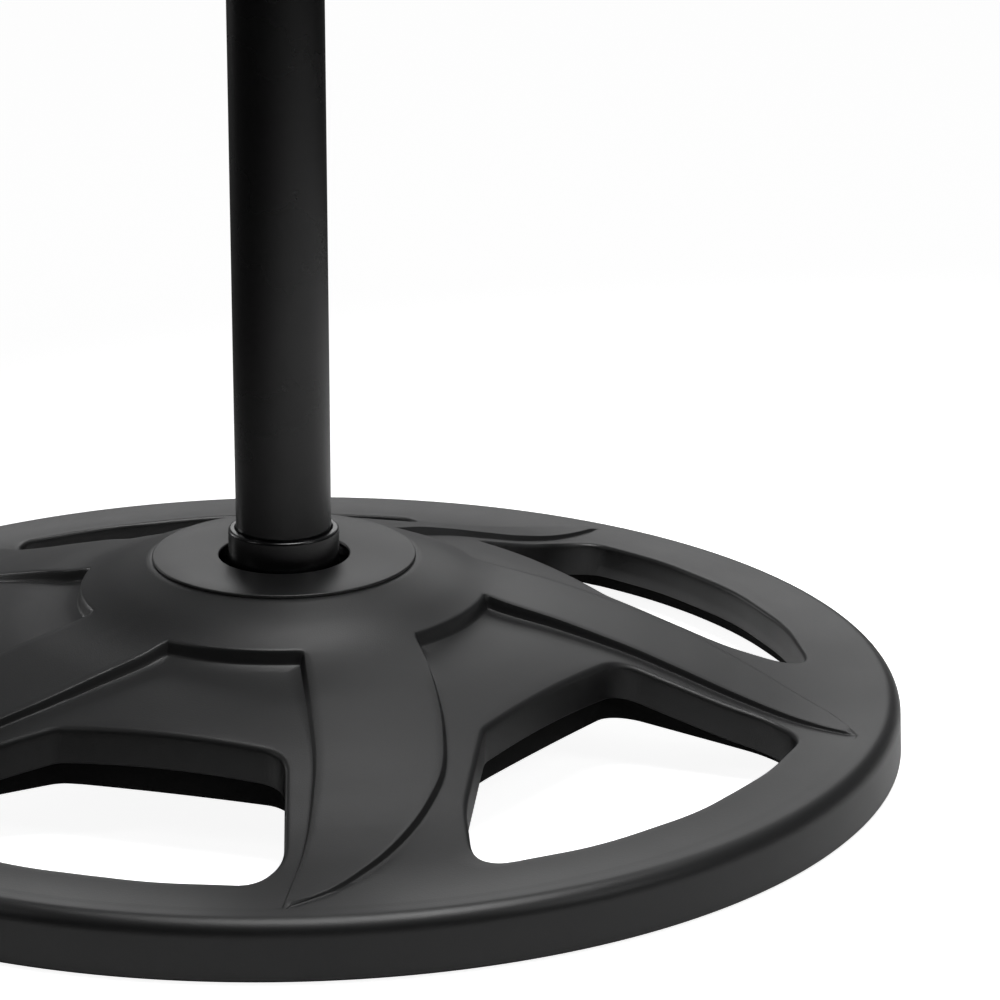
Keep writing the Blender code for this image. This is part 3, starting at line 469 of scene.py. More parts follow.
def shell_height(flat, side, drop, outside):
    """Height of the shell: the crown, less the pocket's depth where no blade stands."""
    radius = np.hypot(*flat.T)
    if side == "inside":
        return crown(radius) - step_height(radius) - SHELL_T - drop
    share = blade_share(flat, outside)
    return crown(radius) - step_height(radius) * (1 - share) + tip_height(radius) * share - drop


def inner_height(radius):
    """Height of the shell's inner face."""
    return float(crown(np.array([radius]))[0] - step_height(np.array([radius]))[0] - SHELL_T)


hub_radii = np.linspace(HUB_ARC * BASE_R, CAP_LAND_R, 12)
hub_profile = [(r, float(crown(np.array([r]))[0])) for r in hub_radii]
hub_profile += [(CAP_LAND_R - LAND_EDGE, HUB_LAND_Z), (RECESS_R + RECESS_EDGE, HUB_LAND_Z),
                (RECESS_R, HUB_LAND_Z - RECESS_EDGE), (RECESS_R, BOSS_Z), (HOLE_R, BOSS_Z),
                (HOLE_R, BOSS_Z - BOSS_T), (RECESS_R + SHELL_T, BOSS_Z - BOSS_T),
                (CAP_LAND_R + SHELL_T, HUB_LAND_Z - LAND_UNDER)]
hub_profile += [(HUB_ARC * BASE_R, inner_height(HUB_ARC * BASE_R))]
rim_top = float(crown(np.array([RIM_ARC * BASE_R]))[0])
RIM_SIDE_R = BASE_R - RIM_DRAFT
rim_profile = [(RIM_ARC * BASE_R, rim_top)]
rim_profile += [(r, rim_top) for r in np.linspace(RIM_ARC * BASE_R, RIM_SIDE_R - RIM_EDGE_R, 4)[1:-1]]
for a in np.radians(np.linspace(90, 0, 12)):
    rim_profile.append((RIM_SIDE_R - RIM_EDGE_R + RIM_EDGE_R * math.cos(a),
                        rim_top - RIM_EDGE_R + RIM_EDGE_R * math.sin(a)))
rim_profile += [(BASE_R - RIM_DRAFT / 2, RIM_DRAFT_Z), (BASE_R, RIM_LIFT + RIM_FOOT_EDGE),
                (BASE_R - RIM_FOOT_EDGE, RIM_LIFT), (BASE_R - SHELL_T, RIM_LIFT),
                (BASE_R - SHELL_T, RIM_CORNER_Z),
                (BASE_R - SHELL_T - RIM_CORNER_RUN, rim_top - SHELL_T - RIM_CORNER_DROP)]
rim_profile += [(RIM_ARC * BASE_R, inner_height(RIM_ARC * BASE_R))]
shell_grids = fifths(shell_rings(), shell_height)
shell_grids += [round_grid(hub_angles, hub_profile), round_grid(rim_angles, rim_profile)]
base_top = make_piece("base_top_moulding", shell_grids)


def add_node(tree, kind, **values):
    """A shader node of this kind with its own properties set."""
    node = tree.nodes.new(kind)
    for key, value in values.items():
        setattr(node, key, value)
    return node


def grain_group():
    """Moulded grain: fine noise that dents the surface, and a broad slow mottle of its tone."""
    group = bpy.data.node_groups.new("moulded_grain", "ShaderNodeTree")
    for name, start in (("Grain Scale", 900.0), ("Grain Depth", 0.1), ("Mottle Scale", 9.0)):
        group.interface.new_socket(name, in_out="INPUT", socket_type="NodeSocketFloat").default_value = start
    group.interface.new_socket("Tone", in_out="OUTPUT", socket_type="NodeSocketFloat")
    group.interface.new_socket("Normal", in_out="OUTPUT", socket_type="NodeSocketVector")
    inward, outward = group.nodes.new("NodeGroupInput"), group.nodes.new("NodeGroupOutput")
    place = group.nodes.new("ShaderNodeTexCoord")
    fine = add_node(group, "ShaderNodeTexNoise", noise_dimensions="3D")
    fine.inputs["Detail"].default_value = 3.0
    broad = add_node(group, "ShaderNodeTexNoise", noise_dimensions="3D")
    broad.inputs["Detail"].default_value = 5.0
    dent = group.nodes.new("ShaderNodeBump")
    dent.inputs["Distance"].default_value = 0.0004
    link = group.links.new
    link(place.outputs["Object"], fine.inputs["Vector"])
    link(place.outputs["Object"], broad.inputs["Vector"])
    link(inward.outputs["Grain Scale"], fine.inputs["Scale"])
    link(inward.outputs["Mottle Scale"], broad.inputs["Scale"])
    link(inward.outputs["Grain Depth"], dent.inputs["Strength"])
    link(fine.outputs["Fac"], dent.inputs["Height"])
    link(broad.outputs["Fac"], outward.inputs["Tone"])
    link(dent.outputs["Normal"], outward.inputs["Normal"])
    return group


def scuff_group():
    """Handling marks: thin broken streaks, more of them in some places than in others."""
    group = bpy.data.node_groups.new("handling_scuffs", "ShaderNodeTree")
    for name, start in (("Streak Scale", 60.0), ("Amount", 0.2)):
        group.interface.new_socket(name, in_out="INPUT", socket_type="NodeSocketFloat").default_value = start
    group.interface.new_socket("Mask", in_out="OUTPUT", socket_type="NodeSocketFloat")
    inward, outward = group.nodes.new("NodeGroupInput"), group.nodes.new("NodeGroupOutput")
    place = group.nodes.new("ShaderNodeTexCoord")
    stretch = group.nodes.new("ShaderNodeMapping")
    stretch.inputs["Rotation"].default_value = (0.4, 0.3, 0.7)
    stretch.inputs["Scale"].default_value = (1.0, 9.0, 3.0)
    streak = group.nodes.new("ShaderNodeTexNoise")
    streak.inputs["Detail"].default_value = 8.0
    thin = group.nodes.new("ShaderNodeMapRange")
    thin.inputs["From Min"].default_value = 0.64
    thin.inputs["From Max"].default_value = 0.80
    amount = add_node(group, "ShaderNodeMath", operation="MULTIPLY")
    link = group.links.new
    link(place.outputs["Object"], stretch.inputs["Vector"])
    link(stretch.outputs["Vector"], streak.inputs["Vector"])
    link(inward.outputs["Streak Scale"], streak.inputs["Scale"])
    link(streak.outputs["Fac"], thin.inputs["Value"])
    link(thin.outputs["Result"], amount.inputs[0])
    link(inward.outputs["Amount"], amount.inputs[1])
    link(amount.outputs["Value"], outward.inputs["Mask"])
    return group


MOULDED_GRAIN = grain_group()
HANDLING_SCUFFS = scuff_group()


SCUFF_GAIN, SCUFF_LIFT = 2.2, 0.02      # how much paler than the light tone a scuff is
TONE_LOW, TONE_HIGH = 0.3, 0.7          # what the mottle's noise mostly runs between


def finish_look(name, dark, light, smooth, rough, grain=(900.0, 0.10, 9.0), scuffs=(60.0, 0.15),
                metallic=0.0, specular=0.5):
    """A finish whose colour runs between two tones and whose roughness between two values, with
    moulded grain in its surface and a few handling scuffs that lighten and roughen it."""
    look = bpy.data.materials.new(name)
    look.use_nodes = True
    tree = look.node_tree
    shader = tree.nodes["Principled BSDF"]
    shader.inputs["Metallic"].default_value = metallic
    shader.inputs["Specular IOR Level"].default_value = specular
    texture = tree.nodes.new("ShaderNodeGroup")
    texture.node_tree = MOULDED_GRAIN
    for socket, value in zip(("Grain Scale", "Grain Depth", "Mottle Scale"), grain):
        texture.inputs[socket].default_value = value
    marks = tree.nodes.new("ShaderNodeGroup")
    marks.node_tree = HANDLING_SCUFFS
    marks.inputs["Streak Scale"].default_value, marks.inputs["Amount"].default_value = scuffs
    tone = add_node(tree, "ShaderNodeMix", data_type="RGBA")
    tone.inputs["A"].default_value = (*dark, 1.0)
    tone.inputs["B"].default_value = (*light, 1.0)
    scuffed = add_node(tree, "ShaderNodeMix", data_type="RGBA")
    scuffed.inputs["B"].default_value = (*[min(1.0, SCUFF_GAIN * c + SCUFF_LIFT) for c in light], 1.0)
    polish = tree.nodes.new("ShaderNodeMapRange")
    polish.inputs["From Min"].default_value = TONE_LOW
    polish.inputs["From Max"].default_value = TONE_HIGH
    polish.inputs["To Min"].default_value = smooth
    polish.inputs["To Max"].default_value = rough
    link = tree.links.new
    link(texture.outputs["Tone"], tone.inputs["Factor"])
    link(tone.outputs["Result"], scuffed.inputs["A"])
    link(marks.outputs["Mask"], scuffed.inputs["Factor"])
    link(scuffed.outputs["Result"], shader.inputs["Base Color"])
    link(texture.outputs["Tone"], polish.inputs["Value"])
    link(polish.outputs["Result"], shader.inputs["Roughness"])
    link(texture.outputs["Normal"], shader.inputs["Normal"])
    return look


def dress(piece, look, body, slot, *nodes):
    """Gives a piece its finish, its body and the parts that it stands for. Its slot is not used."""
    piece.data.materials.clear()
    piece.data.materials.append(look)
    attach(piece, body)
    if nodes:
        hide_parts(*nodes)


satin_moulding = finish_look("satin_black_moulding", (0.0032, 0.0032, 0.0034), (0.0055, 0.0055, 0.0058),
                             smooth=0.38, rough=0.48, grain=(1400.0, 0.16, 7.0), scuffs=(45.0, 0.10))
dress(base_top, satin_moulding, "base", "moulded_plastic", "base_shell")

# ==================================================================== bottom tray
# A tray closes the base from below and keeps the ballast in. Its finish is darker and duller than the
# shell's: partly the tray's own dark plastic, and partly painted shade for the shadow that falls under the
# shell in the windows. Its short walls stand just behind the shell's walls round each window, where they
# show as a dark band over the floor.
TRAY_T = 0.0030
FIT_GAP = 0.0003                # left between parts that are fitted together
TRAY_BACK = SHELL_T + FIT_GAP
TRAY_LAP = 0.0050
TRAY_EDGE = 0.0010
TRAY_RIM_EDGE = 0.0008
TRAY_FOOT_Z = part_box("base_tray")[0].z
TRAY_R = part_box("base_tray")[1].x
TRAY_DISH = [(0.0, 0.1000), (0.35, 0.1000), (0.53, 0.0880), (0.72, 0.0540), (0.85, 0.0300),
             (0.893, TRAY_FOOT_Z / BASE_R), (1.0, TRAY_FOOT_Z / BASE_R)]


def tray_low(radius):
    """Height of the tray's underside at a radius in metres: straight falls between its bends."""
    place, height = np.array(TRAY_DISH).T
    return BASE_R * np.interp(radius / BASE_R, place, height)


def tray_rings():
    """The rings of one fifth of the tray: its upper face, up the back of its wall round the window,
    down the wall's front and out along the underside."""
    front, back = to_window + TRAY_BACK * window_slant, to_window + (TRAY_BACK + TRAY_T) * window_slant
    rings = [(back + (to_sector - back) * share, "upper", 0.0) for share in (1.0, 0.7, 0.4, 0.15, 0.0)]
    rings += [(back, "brim", 0.0), (front, "brim", 0.0), (front, "brim", 0.5), (front, "lower", -TRAY_EDGE)]
    rings += [(front + 0.3 * TRAY_EDGE * window_slant, "lower", -0.3 * TRAY_EDGE),
              (front + TRAY_EDGE * window_slant, "lower", 0.0)]
    foot = front + TRAY_EDGE
    rings += [(foot + (to_sector - foot) * share, "lower", 0.0) for share in (0.2, 0.45, 0.7, 1.0)]
    return rings


def tray_height(flat, side, drop, _outside):
    """Height of the tray's upper face, the top of its walls or its underside."""
    radius = np.hypot(*flat.T)
    low = tray_low(radius)
    brim = crown(radius) - step_height(radius) - WINDOW_WALL + TRAY_LAP
    if side == "upper":
        return low + TRAY_T
    if side == "brim":
        return np.maximum(brim + (low - brim) * drop, low + TRAY_T)
    return low - drop


hub_reach, rim_reach = HUB_ARC * BASE_R, RIM_ARC * BASE_R
tray_grids = fifths(tray_rings(), tray_height)
dish_radii = np.linspace(hub_reach, 0.0, 8)
tray_grids += [round_grid(hub_angles, [(r, float(tray_low(r))) for r in dish_radii]),
               round_grid(hub_angles, [(r, float(tray_low(r)) + TRAY_T) for r in dish_radii]),
               round_grid(rim_angles, [(rim_reach, TRAY_FOOT_Z), (TRAY_R - TRAY_RIM_EDGE, TRAY_FOOT_Z),
                                       (TRAY_R, TRAY_FOOT_Z + TRAY_RIM_EDGE), (TRAY_R, TRAY_FOOT_Z + TRAY_T),
                                       (rim_reach, TRAY_FOOT_Z + TRAY_T)])]
bottom_tray = make_piece("bottom_tray", tray_grids)
# painted shade: this finish is darker than the shell's so the tray's walls stand in for the shadow in the
# windows, besides being dark plastic
dull_shade_moulding = finish_look("dull_black_moulding_painted_shade", (0.0012, 0.0012, 0.0012), (0.0025, 0.0025, 0.0025),
                            smooth=0.80, rough=0.90, grain=(1100.0, 0.25, 12.0), specular=0.15)
dress(bottom_tray, dull_shade_moulding, "base", "dark_plastic", "base_tray")


# ==================================================================== hub cap
# A thin snap-on cover of the same moulding lies on the dome's flat land and hides the flange's bolts.
# Its outer edge is slightly rounded, so it throws a fine dark line all round.
FINE_WELD = 0.000004


def spin_piece(name, profile, columns=144, axis_at=(0.0, 0.0, 0.0), axis="Z", closed=True):
    """A turned piece: a profile of (radius, height) carried round an axis through a place."""
    radius, height = np.array(profile + profile[:1] if closed else profile, float).T
    angle = np.linspace(0.0, 2 * math.pi, columns, endpoint=False)
    x, y = radius[:, None] * np.cos(angle), radius[:, None] * np.sin(angle)
    z = np.repeat(height[:, None], columns, 1)
    grid = np.stack([x, y, z] if axis == "Z" else [z, x, y], -1) + np.array(axis_at)
    return make_piece(name, [grid], weld=FINE_WELD)


def bow(centre_r, centre_z, rounding, start, end, steps=5):
    """Points of a small arc in a profile, between two angles in degrees."""
    return [(centre_r + rounding * math.cos(a), centre_z + rounding * math.sin(a))
            for a in np.radians(np.linspace(start, end, steps))]


cap_low, cap_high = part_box("hub_cap")
CAP_SINK = 0.0009               # the moulded cover is this much thinner than its plain solid
CAP_TOP = cap_high.z - CAP_SINK
CAP_UNDER = HUB_LAND_Z + FIT_GAP
CAP_R = cap_high.x
CAP_EDGE = 0.0006
CAP_BAND = 0.0100
CAP_MOUTH_R, CAP_MOUTH_EDGE = 0.0305, 0.0008
CAP_SKIRT_R, CAP_SKIRT_T = RECESS_R - FIT_GAP, 0.0018
cap_profile = bow(CAP_MOUTH_R + CAP_MOUTH_EDGE, CAP_TOP - CAP_MOUTH_EDGE, CAP_MOUTH_EDGE, 180, 90)
cap_profile += [(CAP_R - CAP_BAND, CAP_TOP)]
cap_profile += bow(CAP_R - CAP_EDGE, CAP_TOP - CAP_EDGE, CAP_EDGE, 90, 0)
cap_profile += [(CAP_R, CAP_UNDER), (CAP_SKIRT_R, CAP_UNDER), (CAP_SKIRT_R, cap_low.z),
                (CAP_SKIRT_R - CAP_SKIRT_T, cap_low.z), (CAP_SKIRT_R - CAP_SKIRT_T, CAP_UNDER),
                (CAP_MOUTH_R, CAP_UNDER)]
cover_disc = spin_piece("hub_cover_disc", cap_profile)
dress(cover_disc, satin_moulding, "base", "moulded_plastic", "hub_cap")

# ==================================================================== pole socket
# A steel collar welded to a flange takes the foot of the pole. Its mouth is turned smooth, and both
# are powder coated in the same semi-gloss black as the tubes.
socket_low, socket_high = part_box("pole_socket")
FLANGE_R = socket_high.x
SOCKET_R = 0.0259
SOCKET_BORE = 0.02255
SOCKET_EDGE, BORE_EDGE = 0.0014, 0.0006
SOCKET_FLOOR_T = 0.0040
ANCHOR_HOLE_R = 0.0045
FLANGE_Z = BOSS_Z + FIT_GAP
FLANGE_T, FLANGE_EDGE = 0.0035, 0.0005
FLANGE_TOP = FLANGE_Z + FLANGE_T
WELD_BEAD = [(0.0, 0.0025), (0.0007, 0.0009), (0.0024, 0.0)]    # outwards and upwards from the corner
socket_floor = socket_low.z + SOCKET_FLOOR_T
socket_profile = bow(SOCKET_R - SOCKET_EDGE, socket_high.z - SOCKET_EDGE, SOCKET_EDGE, 90, 0)
socket_profile += [(SOCKET_R + out, FLANGE_TOP + up) for out, up in WELD_BEAD]
socket_profile += [(FLANGE_R - FLANGE_EDGE, FLANGE_TOP), (FLANGE_R, FLANGE_TOP - FLANGE_EDGE)]
socket_profile += [(FLANGE_R, FLANGE_Z), (SOCKET_R, FLANGE_Z), (SOCKET_R, socket_low.z)]
socket_profile += [(ANCHOR_HOLE_R, socket_low.z), (ANCHOR_HOLE_R, socket_floor), (SOCKET_BORE, socket_floor)]
socket_profile += [(SOCKET_BORE, socket_high.z - BORE_EDGE), (SOCKET_BORE + BORE_EDGE, socket_high.z)]
socket_collar = spin_piece("socket_collar", socket_profile)
powder_coat = finish_look("black_powder_coat", (0.0008, 0.0008, 0.0009), (0.0016, 0.0016, 0.0018),
                          smooth=0.22, rough=0.30, grain=(1900.0, 0.10, 14.0), scuffs=(38.0, 0.08))
dress(socket_collar, powder_coat, "base", "painted_steel", "pole_socket")

# ==================================================================== poles
# Two stock steel tubes, the thinner sliding in the thicker, cut square with lightly broken edges and
# powder coated semi-gloss black.
TUBE_T = 0.0015
TUBE_EDGE = TUBE_T * 0.3
TUBE_END = 0.01


def tube_profile(outer, low, high):
    """A tube's section with broken edges, as a profile of radius and height."""
    bore = outer - TUBE_T
    return ([(outer - TUBE_EDGE, high), (outer, high - TUBE_EDGE)]
            + [(outer, z) for z in np.linspace(high - TUBE_END, low + TUBE_END, 24)]
            + [(outer, low + TUBE_EDGE), (outer - TUBE_EDGE, low), (bore, low), (bore, high)])


for tube_name, node, body in (("lower_tube", "lower_pole", "base"), ("upper_tube", "upper_pole", "mast")):
    tube_low, tube_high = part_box(node)
    tube = spin_piece(tube_name, tube_profile(tube_high.x, tube_low.z, tube_high.z), columns=96)
    dress(tube, powder_coat, body, "painted_steel", node)

# ==================================================================== height clamp
# A moulded collar grips the top of the lower tube. A brass insert in its side boss takes the screw of a
# six-lobed hand knob, which bears on the upper tube.
collar_low, collar_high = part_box("clamp_collar")
LOWER_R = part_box("lower_pole")[1].x
UPPER_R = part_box("upper_pole")[1].x
COLLAR_R = collar_high.y
SLIDE_GAP = 0.0004
COLLAR_EDGE, COLLAR_MOUTH_EDGE = 0.0030, 0.0010
GROOVES_DOWN = (0.0300, 0.0360, 0.0420)
GROOVE_R, GROOVE_OUT = 0.0014, 0.0006
collar_grip_r, collar_mouth_r = LOWER_R + FIT_GAP, UPPER_R + SLIDE_GAP
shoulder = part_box("guide_bush")[1].z + FIT_GAP
collar_profile = [(collar_mouth_r, collar_high.z - COLLAR_MOUTH_EDGE),
                  (collar_mouth_r + COLLAR_MOUTH_EDGE, collar_high.z)]
collar_profile += bow(COLLAR_R - COLLAR_EDGE, collar_high.z - COLLAR_EDGE, COLLAR_EDGE, 90, 0)
for groove_down in GROOVES_DOWN:
    collar_profile += bow(COLLAR_R + GROOVE_OUT, collar_high.z - groove_down, GROOVE_R, 140, 220, 6)
collar_profile += bow(COLLAR_R - COLLAR_EDGE, collar_low.z + COLLAR_EDGE, COLLAR_EDGE, 0, -90)
collar_profile += [(collar_grip_r, collar_low.z), (collar_grip_r, shoulder), (collar_mouth_r, shoulder)]
clamp_body = spin_piece("clamp_body", collar_profile)
dress(clamp_body, satin_moulding, "base", "moulded_plastic", "clamp_collar")

knob_low, knob_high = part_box("lock_knob")
KNOB_Z = (knob_low.z + knob_high.z) / 2
KNOB_R = (knob_high.z - knob_low.z) / 2
BOSS_END = collar_high.x
BOSS_R, BOSS_EDGE = 0.0095, 0.0012
BOSS_FOOT = [(0.0, 0.0030), (0.0008, 0.0006), (0.0022, -0.0025)]    # wider, and out from the collar
INSERT_R, INSERT_L = 0.0065, 0.0060
boss_profile = [(INSERT_R, BOSS_END - INSERT_L), (INSERT_R, BOSS_END)]
boss_profile += bow(BOSS_R - BOSS_EDGE, BOSS_END - BOSS_EDGE, BOSS_EDGE, 90, 0)
boss_profile += [(BOSS_R + wider, COLLAR_R + out) for wider, out in BOSS_FOOT]
boss_profile += [(INSERT_R, COLLAR_R + BOSS_FOOT[-1][1])]
clamp_boss = spin_piece("clamp_boss", boss_profile, columns=72, axis_at=(0.0, 0.0, KNOB_Z), axis="X")
dress(clamp_boss, satin_moulding, "base", "moulded_plastic")


LOBES, LOBE_DIP = 6, 0.16
LOBES_FROM, LOBES_OVER = 0.5, 0.4       # from which share of the radius the lobes grow, over what share
BACK_ROUND, BACK_RUN = 0.0022, 0.10     # the rounding's depth, and its width as a share of the radius
FACE_ROUND, FACE_RUN = 0.0032, 0.16
KNOB_SIDE = 0.006
FACE_DISH = [(0.62, 0.0), (0.56, 0.0006), (0.50, 0.0012), (0.0, 0.0014)]


def lobed_knob(name, low, high, radius, height):
    """A hand knob: its outline's radius dips six times a turn, its profile is rounded at both ends,
    and a shallow dish is sunk in its outer face."""
    angle = np.linspace(0.0, 2 * math.pi, 180, endpoint=False)
    lobe = 1 - LOBE_DIP * (0.5 - 0.5 * np.cos(LOBES * angle)) ** 2
    profile = [(0.0, low), (0.55, low)]
    profile += [(1 - BACK_RUN + BACK_RUN * math.sin(a), low + BACK_ROUND - BACK_ROUND * math.cos(a))
                for a in np.radians(np.linspace(0, 90, 6))]
    profile += [(1.0, low + KNOB_SIDE), (1.0, high - KNOB_SIDE)]
    profile += [(1 - FACE_RUN + FACE_RUN * math.cos(a), high - FACE_ROUND + FACE_ROUND * math.sin(a))
                for a in np.radians(np.linspace(0, 90, 8))]
    profile += [(share, high - sunk) for share, sunk in FACE_DISH]
    share, along = np.array(profile).T
    blend = np.clip((share - LOBES_FROM) / LOBES_OVER, 0, 1)[:, None]
    reach_out = radius * share[:, None] * (1 + (lobe - 1) * blend)
    grid = np.stack([np.repeat(along[:, None], len(angle), 1), reach_out * np.cos(angle),
                     height + reach_out * np.sin(angle)], -1)
    return make_piece(name, [grid], weld=FINE_WELD)


hand_knob = lobed_knob("hand_knob", knob_low.x, knob_high.x, KNOB_R, KNOB_Z)
dress(hand_knob, satin_moulding, "knob", "moulded_plastic", "lock_knob")

# ==================================================================== spring and its seats
# A heavy closed-end coil spring, bent up from 6 mm wire, lets the ball spring back. A turned steel seat
# plugs each end, and the whole is powder coated.
spring_low, spring_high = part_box("spring")
SPRING_R = 0.0260
WIRE_R = 0.0030
SPRING_Z = spring_low.z + FIT_GAP
SPRING_L = spring_high.z - spring_low.z - 2 * FIT_GAP
SPRING_TURNS = 9
CLOSED_PITCH = 1.02             # rise of a closed end turn, in thicknesses of the wire
PITCH_SOFTENS = 0.02            # share of the length over which the pitch changes
MIDDLE_SHARE = 0.5


def coil_piece(name, start, end, columns=14, rows_a_turn=30):
    """A stretch of the coil: a wire's round section carried along a helix whose pitch grows from one
    wire's thickness at the closed end turns to its full value between them."""
    t = np.linspace(start, end, int((end - start) * SPRING_TURNS * rows_a_turn))
    closed_turn = 1.0 / SPRING_TURNS
    flat_rise = 2 * WIRE_R * CLOSED_PITCH
    open_rise = SPRING_L - 2 * WIRE_R - 2 * flat_rise
    places = [0.0, closed_turn, 1 - closed_turn, 1.0]
    rises = [0.0, flat_rise, flat_rise + open_rise, 2 * flat_rise + open_rise]
    nearby = np.linspace(-PITCH_SOFTENS, PITCH_SOFTENS, 9)
    soft = sum(np.interp(np.clip(t + s, 0, 1), places, rises) for s in nearby) / len(nearby)
    turn = 2 * math.pi * SPRING_TURNS * t
    middle = np.stack([SPRING_R * np.cos(turn), SPRING_R * np.sin(turn), SPRING_Z + WIRE_R + soft], -1)
    outwards = np.stack([np.cos(turn), np.sin(turn), np.zeros_like(turn)], -1)
    up = np.array([0.0, 0.0, 1.0])
    around = np.linspace(0, 2 * math.pi, columns, endpoint=False)
    ring = WIRE_R * (np.cos(around)[None, :, None] * outwards[:, None] + np.sin(around)[None, :, None] * up)
    body = middle[:, None] + ring
    first, last = (np.repeat(end_at[None, None], columns, 1) for end_at in (middle[0], middle[-1]))
    return make_piece(name, [np.concatenate([first, body, last])], weld=FINE_WELD, sharp=50.0)


lower_coils = coil_piece("spring_lower_coils", 0.0, MIDDLE_SHARE)
upper_coils = coil_piece("spring_upper_coils", MIDDLE_SHARE, 1.0)
for coils in (lower_coils, upper_coils):
    coils.data.materials.append(powder_coat)
    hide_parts("spring")
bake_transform(lower_coils)
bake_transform(upper_coils)

SEAT_T = 0.0060
SEAT_FACE_EDGE, SEAT_BACK_EDGE = 0.0012, 0.0008
NOSE_R, NOSE_TAPER = 0.0208, 0.0030
STUD_HOLE_R = 0.0053
SEAT_LAND_R = 0.0120
SEAT_PLUG_R = UPPER_R - TUBE_T - FIT_GAP
for seat_name, node, body, flip in (("lower_seat", "lower_spring_seat", "mast", False),
                                    ("upper_seat", "upper_spring_seat", "ball_head", True)):
    seat_low, seat_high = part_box(node)
    SEAT_R = seat_high.x
    if flip:
        plate = seat_high.z - SEAT_T
        seat_profile = bow(SEAT_R - SEAT_FACE_EDGE, seat_high.z - SEAT_FACE_EDGE, SEAT_FACE_EDGE, 90, 0)
        seat_profile += bow(SEAT_R - SEAT_BACK_EDGE, plate + SEAT_BACK_EDGE, SEAT_BACK_EDGE, 0, -90)
        seat_profile += [(NOSE_R, plate), (NOSE_R, seat_low.z + NOSE_TAPER)]
        seat_profile += [(NOSE_R - NOSE_TAPER, seat_low.z)]
        seat_profile += [(STUD_HOLE_R, seat_low.z), (STUD_HOLE_R, seat_high.z), (SEAT_LAND_R, seat_high.z)]
    else:
        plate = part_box("upper_pole")[1].z + FIT_GAP
        face = plate + SEAT_T
        seat_profile = [(0.0, seat_high.z), (NOSE_R - NOSE_TAPER, seat_high.z),
                        (NOSE_R, seat_high.z - NOSE_TAPER), (NOSE_R, face)]
        seat_profile += bow(SEAT_R - SEAT_FACE_EDGE, face - SEAT_FACE_EDGE, SEAT_FACE_EDGE, 90, 0)
        seat_profile += bow(SEAT_R - SEAT_BACK_EDGE, plate + SEAT_BACK_EDGE, SEAT_BACK_EDGE, 0, -90)
        seat_profile += [(SEAT_PLUG_R, plate), (SEAT_PLUG_R, seat_low.z), (0.0, seat_low.z)]
    seat = spin_piece(seat_name, seat_profile, closed=flip)
    dress(seat, powder_coat, body, "painted_steel", node)

# ==================================================================== ball mounting
# A zinc-plated threaded stud screws up through the seat, locked by a nut. A moulded rubber dish under
# the ball spreads its pull.
stud_low, stud_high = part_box("ball_stud")
STUD_R = stud_high.x
THREAD_PITCH, THREAD_DEPTH = 0.0015, 0.00085
THREAD_END_CUT = 0.0006


def threaded_rod(name, radius, low, high, pitch=THREAD_PITCH, columns=36):
    """A threaded rod: its radius is a rounded saw-tooth of the height less the turn's share of the
    pitch, which leaves one helix, fading out at both ends."""
    height = np.linspace(low, high, int((high - low) / pitch * 10))
    angle = np.linspace(0, 2 * math.pi, columns, endpoint=False)
    phase = height[:, None] / pitch - angle / (2 * math.pi)
    tooth = np.abs((phase % 1.0) * 2 - 1)
    fade = np.clip(np.minimum(height - low, high - height) / pitch, 0, 1)[:, None]
    reach_out = radius - THREAD_DEPTH * (1 - tooth) * fade - THREAD_END_CUT * (1 - fade)
    grid = np.stack([reach_out * np.cos(angle), reach_out * np.sin(angle),
                     np.repeat(height[:, None], columns, 1)], -1)
    ends = [np.repeat([[[0.0, 0.0, z]]], columns, 1) for z in (low, high)]
    return make_piece(name, [np.concatenate([ends[0], grid, ends[1]])], weld=FINE_WELD, sharp=60.0)


NUT_EDGE = 0.0008
NUT_FACE = 0.98                 # width of the round face left at both ends, in widths across the flats


def hex_nut(name, bore, across, low, high):
    """A hexagon nut: its outline's radius is the hexagon's between its ends, and at both ends its
    corners are cut back to a circle."""
    angle = np.linspace(0, 2 * math.pi, 96, endpoint=False)
    hexagon = across / 2 / np.cos((angle + math.pi / 6) % (math.pi / 3) - math.pi / 6)
    face = across / 2 * NUT_FACE
    rows = [(bore, low), (face, low), (hexagon, low + NUT_EDGE), (hexagon, high - NUT_EDGE), (face, high),
            (bore, high), (bore, low)]
    grid = [np.stack([radius * np.cos(angle), radius * np.sin(angle), np.full_like(angle, z)], -1)
            for radius, z in rows]
    return make_piece(name, [np.array(grid)], weld=FINE_WELD, sharp=28.0)


zinc_plate = finish_look("zinc_plating", (0.46, 0.47, 0.49), (0.60, 0.60, 0.58), smooth=0.26, rough=0.42,
                         metallic=1.0, grain=(2400.0, 0.06, 60.0), scuffs=(120.0, 0.05))
stud = threaded_rod("threaded_stud", STUD_R, stud_low.z, stud_high.z)
dress(stud, zinc_plate, "ball_head", "zinc_steel", "ball_stud")
nut_low, nut_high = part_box("stud_nut")
lock_nut = hex_nut("lock_nut", STUD_R + FIT_GAP, nut_high.y * 2, nut_low.z, nut_high.z)
dress(lock_nut, zinc_plate, "ball_head", "zinc_steel", "stud_nut")
plate_low, plate_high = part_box("ball_plate")
PLATE_R = plate_high.x
PLATE_FLAT_R = PLATE_R * 0.55
LIP_R, LIP_DOWN = 0.0022, 0.0036
SHOULDER_R, SHOULDER_DOWN = PLATE_R * 0.80, 0.0009
LIP_FOOT_R, LIP_FOOT_UP = PLATE_R * 0.84, 0.0010
plate_profile = [(STUD_HOLE_R, plate_high.z), (PLATE_FLAT_R, plate_high.z)]
plate_profile += [(SHOULDER_R, plate_high.z - SHOULDER_DOWN)]
plate_profile += bow(PLATE_R - LIP_R, plate_high.z - LIP_DOWN, LIP_R, 70, -60, 8)
